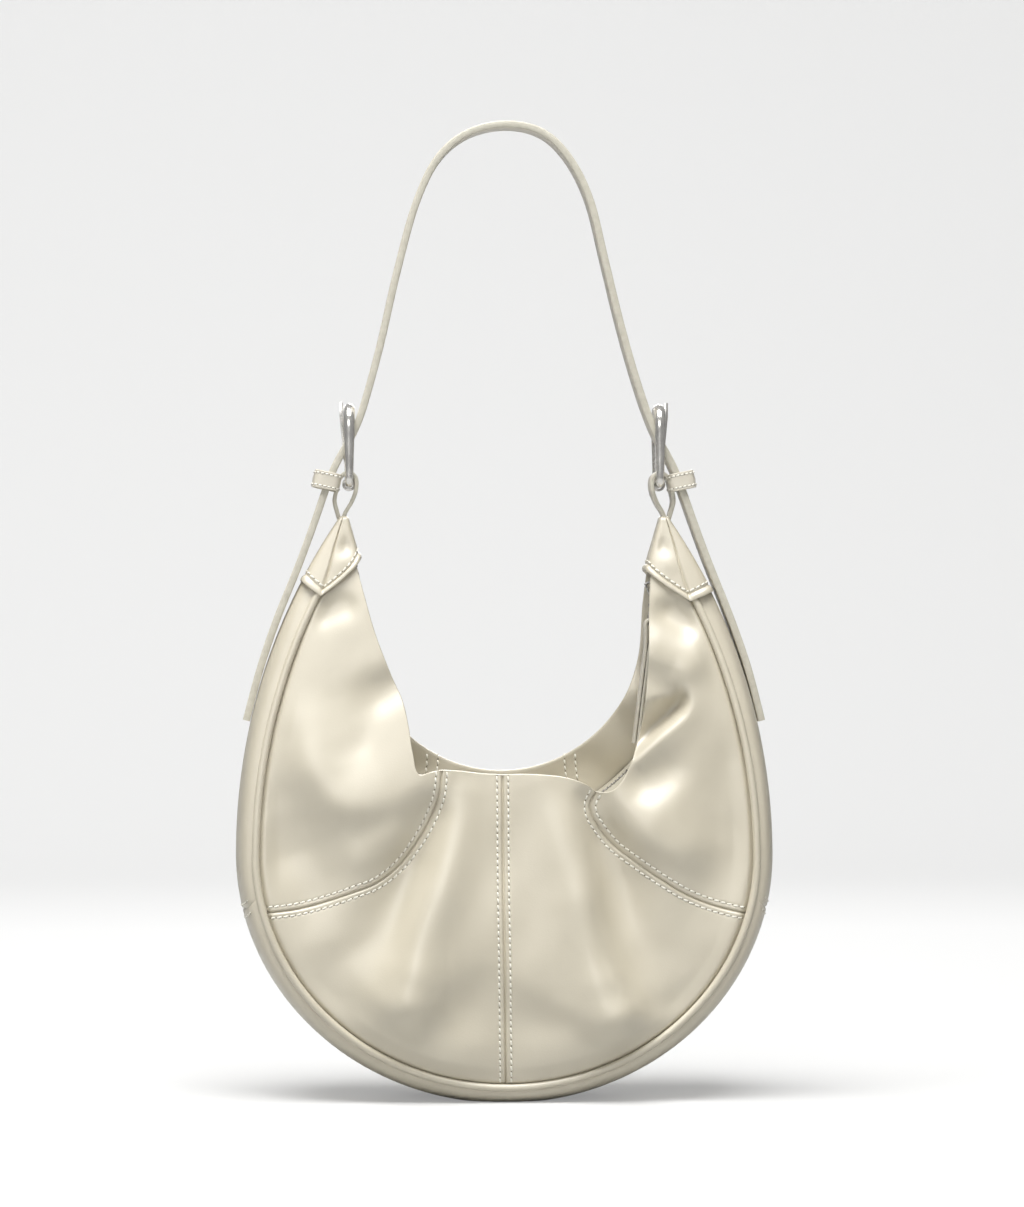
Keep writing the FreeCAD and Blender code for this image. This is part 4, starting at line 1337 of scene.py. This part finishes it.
def leather_group():
    """Fine nappa grain: a height, a soft change of tone and a change of gloss."""
    group = bpy.data.node_groups.new("nappa_grain", "ShaderNodeTree")
    group.interface.new_socket("Vector", in_out="INPUT", socket_type="NodeSocketVector")
    for name in ("Height", "Tone", "Gloss"):
        group.interface.new_socket(name, in_out="OUTPUT", socket_type="NodeSocketFloat")
    vector = group.nodes.new("NodeGroupInput").outputs["Vector"]
    pebble = add_node(
        group, "TexVoronoi", {"Vector": vector, "Scale": 1500.0, "Smoothness": 0.6}, feature="SMOOTH_F1")
    pores = noise(group, vector, 900.0, 4.0)
    height = add_node(
        group, "Math", {0: pebble.outputs["Distance"], 1: 0.6, 2: pores}, operation="MULTIPLY_ADD")
    feed(group, group.nodes.new("NodeGroupOutput"), {
        "Height": height.outputs[0],
        "Tone": noise(group, vector, 16.0, 3.0),
        "Gloss": noise(group, vector, 60.0),
    })
    return group


def leather_material(name, group, dark, light, rough, pearl):
    material, tree, shader, place = new_material(name)
    grain = add_node(tree, "Group", {"Vector": place}, node_tree=group).outputs
    feed(tree, shader, {
        "Base Color": mixed(tree, ranged(tree, grain["Tone"], 0, 1), dark, light),
        "Roughness": ranged(tree, grain["Gloss"], rough - 0.04, rough + 0.05),
        "Normal": bumped(tree, grain["Height"], 0.12, 0.0003),
        "Metallic": pearl,
        "Specular IOR Level": 0.9,
        "Coat Weight": 0.9,
        "Coat Roughness": 0.4,
    })
    return material


def metal_material(name, colour, rough):
    material, tree, shader, place = new_material(name)
    smudge = noise(tree, place, 120.0, 4.0)
    shade = [part * 0.9 for part in colour]
    feed(tree, shader, {
        "Base Color": mixed(tree, ranged(tree, smudge, 0, 1), shade, colour),
        "Roughness": ranged(tree, smudge, rough * 0.8, rough * 1.4),
        "Metallic": 0.85,
    })
    return material


def woven_material(name, dark, light, threads):
    material, tree, shader, place = new_material(name)
    inputs = {"Vector": place, "Scale": threads, "Distortion": 0.6}
    waves = [
        add_node(tree, "TexWave", inputs, wave_type="BANDS", bands_direction=axis).outputs["Fac"]
        for axis in ("X", "Z")
    ]
    weave = product(tree, *waves)
    feed(tree, shader, {
        "Base Color": mixed(tree, weave, dark, light),
        "Normal": bumped(tree, weave, 0.4, 0.0002),
        "Roughness": 0.8,
    })
    return material


def plain_material(name, dark, light, rough, scale, bump=0.0):
    """Matt finish with a slight unevenness of colour and, for thread, of height."""
    material, tree, shader, place = new_material(name)
    uneven = noise(tree, place, scale)
    colour = mixed(tree, ranged(tree, uneven, 0, 1), dark, light)
    feed(tree, shader, {"Base Color": colour, "Roughness": rough})
    if bump:
        feed(tree, shader, {"Normal": bumped(tree, uneven, bump, 0.0001)})
    return material


# Stage, in metres and watts
sweep_half_width = 6.0
sweep_front = -5.0
sweep_wall = 3.2
sweep_bend = 1.2
sweep_top = 4.5
sweep_colour = (0.44, 0.44, 0.435, 1)
under_sweep = (0.0, 100.0, -100.0)
floor_glow = 0.27
floor_glow_end = -0.1
wall_glow = 0.47
wall_glow_start = 1.3
world_light = 0.18
backdrop_colour = (0.86, 0.855, 0.84, 1.0)
white = (1, 1, 1, 1)
lamp_target = (0, 0, 0.2)
camera_distance = 2.6
camera_height = 0.29
camera_turn = math.radians(3.0)
camera_target = (0.0047, 0.0, 0.2867)
frame_height = 0.7033


def sweep():
    """White floor that curves up into a wall behind the bag; only the camera sees its slight glow."""
    bend = arc((sweep_wall - sweep_bend, sweep_bend), sweep_bend, -90, 0, 16)
    profile = [(sweep_front, 0.0)] + bend + [(sweep_wall, sweep_top)]
    rows = [[(x, y, z) for y, z in profile] for x in (-sweep_half_width, sweep_half_width)]
    floor = grid_sheet("studio_sweep", np.array(rows) / mm)
    face_away(floor, under_sweep)
    smooth(floor, 60)
    material, tree, shader, place = new_material("white_sweep")
    parts = add_node(tree, "SeparateXYZ", {"Vector": place}).outputs
    glow = ranged(tree, parts["Y"], floor_glow, wall_glow, floor_glow_end, wall_glow_start)
    seen = add_node(tree, "LightPath", {}).outputs["Is Camera Ray"]
    feed(tree, shader, {
        "Base Color": sweep_colour,
        "Roughness": 0.9,
        "Specular IOR Level": 0.0,
        "Emission Color": white,
        "Emission Strength": product(tree, seen, glow),
    })
    floor.data.materials.append(material)


def world():
    """Even light from all round, with a plain backdrop for the camera."""
    made = bpy.data.worlds.new("studio")
    bpy.context.scene.world = made
    made.use_nodes = True
    tree = made.node_tree
    light = tree.nodes["Background"]
    feed(tree, light, {"Color": white, "Strength": world_light})
    seen = add_node(tree, "Background", {"Color": backdrop_colour})
    ray = add_node(tree, "LightPath", {}).outputs["Is Camera Ray"]
    mix = add_node(
        tree, "MixShader", {"Fac": ray, 1: light.outputs["Background"], 2: seen.outputs["Background"]})
    feed(tree, tree.nodes["World Output"], {"Surface": mix.outputs["Shader"]})


def aim_at(thing, target):
    heading = Vector(target) - Vector(thing.location)
    thing.rotation_euler = heading.to_track_quat("-Z", "Y").to_euler()


def lamp(name, place, size, power, spread_angle=180):
    data = bpy.data.lights.new(name, "AREA")
    data.shape = "RECTANGLE"
    data.size, data.size_y = size
    data.energy = power
    data.spread = math.radians(spread_angle)
    made = linked(name, data)
    made.location = place
    aim_at(made, lamp_target)


def camera():
    data = bpy.data.cameras.new("photo_camera")
    data.sensor_width = 36.0
    data.lens = data.sensor_width * camera_distance / frame_height
    made = linked("photo_camera", data)
    bpy.context.scene.camera = made
    x = camera_target[0] - camera_distance * math.sin(camera_turn)
    made.location = (x, -camera_distance * math.cos(camera_turn), camera_height)
    aim_at(made, camera_target)


def main():
    bpy.context.scene.view_settings.view_transform = "Standard"
    grain = leather_group()
    body = leather_material(
        "ivory_nappa", grain, (0.53, 0.483, 0.375), (0.58, 0.533, 0.423), rough=0.46, pearl=0.02)
    strap_finish = leather_material(
        "strap_nappa", grain, (0.60, 0.555, 0.455), (0.65, 0.605, 0.505), rough=0.5, pearl=0.0)
    edge_paint = plain_material("edge_paint", (0.50, 0.475, 0.395), (0.57, 0.545, 0.46), 0.45, 300.0)
    nickel = metal_material("polished_nickel", (0.86, 0.84, 0.80), 0.2)
    zip_metal = metal_material("zip_nickel", (0.55, 0.54, 0.52), 0.22)
    cloth = woven_material("lining_twill", (0.42, 0.38, 0.31), (0.52, 0.48, 0.40), 900.0)
    # The tape's woven pattern is its own, but its colours are darker than the ivory tape: painted shade for
    # where it shows through the rim's notch.
    tape = woven_material("tape_weave_with_painted_shade", (0.40, 0.37, 0.29), (0.50, 0.465, 0.38), 1300.0)
    thread = plain_material("ivory_thread", (0.70, 0.67, 0.58), (0.88, 0.86, 0.78), 0.6, 2500.0, bump=0.3)
    # Dark finish of the discs at the needle holes: painted shade for the inside of each hole.
    hole = plain_material("needle_hole_painted_shade", (0.13, 0.11, 0.075), (0.18, 0.155, 0.11), 0.9, 400.0)
    for side, word in side_names.items():
        panels(side, body)
        facing(side, body)
        piping(side, body)
        zip_tape(side, tape)
        zip_teeth(side, zip_metal)
        sew(word + "_seam_stitching", seam_rows(side), "bag", thread, hole)
    rows = gusset(body) + inner_rows()
    lining(cloth)
    rows.append(horn_cap(-1, inner_height=313.0, point_height=291.0, outer_height=300.0, material=body))
    rows.append(horn_cap(1, inner_height=306.0, point_height=288.0, outer_height=294.0, material=body))
    sew("body_stitching", rows, "bag", thread, hole)
    strap(strap_finish, edge_paint)
    for sign, word in hand_names.items():
        tab(sign, strap_finish, edge_paint)
        bands = keeper(sign, strap_finish)
        sew("keeper_stitching_" + word, bands, "handle", thread, hole, keeper_stitch_pitch)
        buckle(sign, nickel)
        prong = "buckle_prong_" + word
        softened("buckle_tongue_" + word, prong, 0.8, "prong_" + word, nickel, "buckle_nickel")
    softened("zip_runner", "zip_slider", 0.35, "slider", zip_metal, "zip_metal")
    softened("end_stops", "zip_end_stops", 0.4, "bag", zip_metal, "zip_metal")
    softened("tab_clip", "pull_clip", 0.35, "pull", zip_metal, "zip_metal")
    pull_ring(zip_metal)
    pull_tab(strap_finish, edge_paint)
    sweep()
    world()
    lamp("overhead_softbox", (-0.35, -0.95, 3.2), size=(2.6, 1.7), power=186)
    lamp("front_fill", (-0.6, -2.4, 1.2), size=(1.4, 1.0), power=13)
    lamp("back_fill", (0.4, 2.9, 1.1), size=(1.0, 0.8), power=2, spread_angle=50)
    camera()


main()
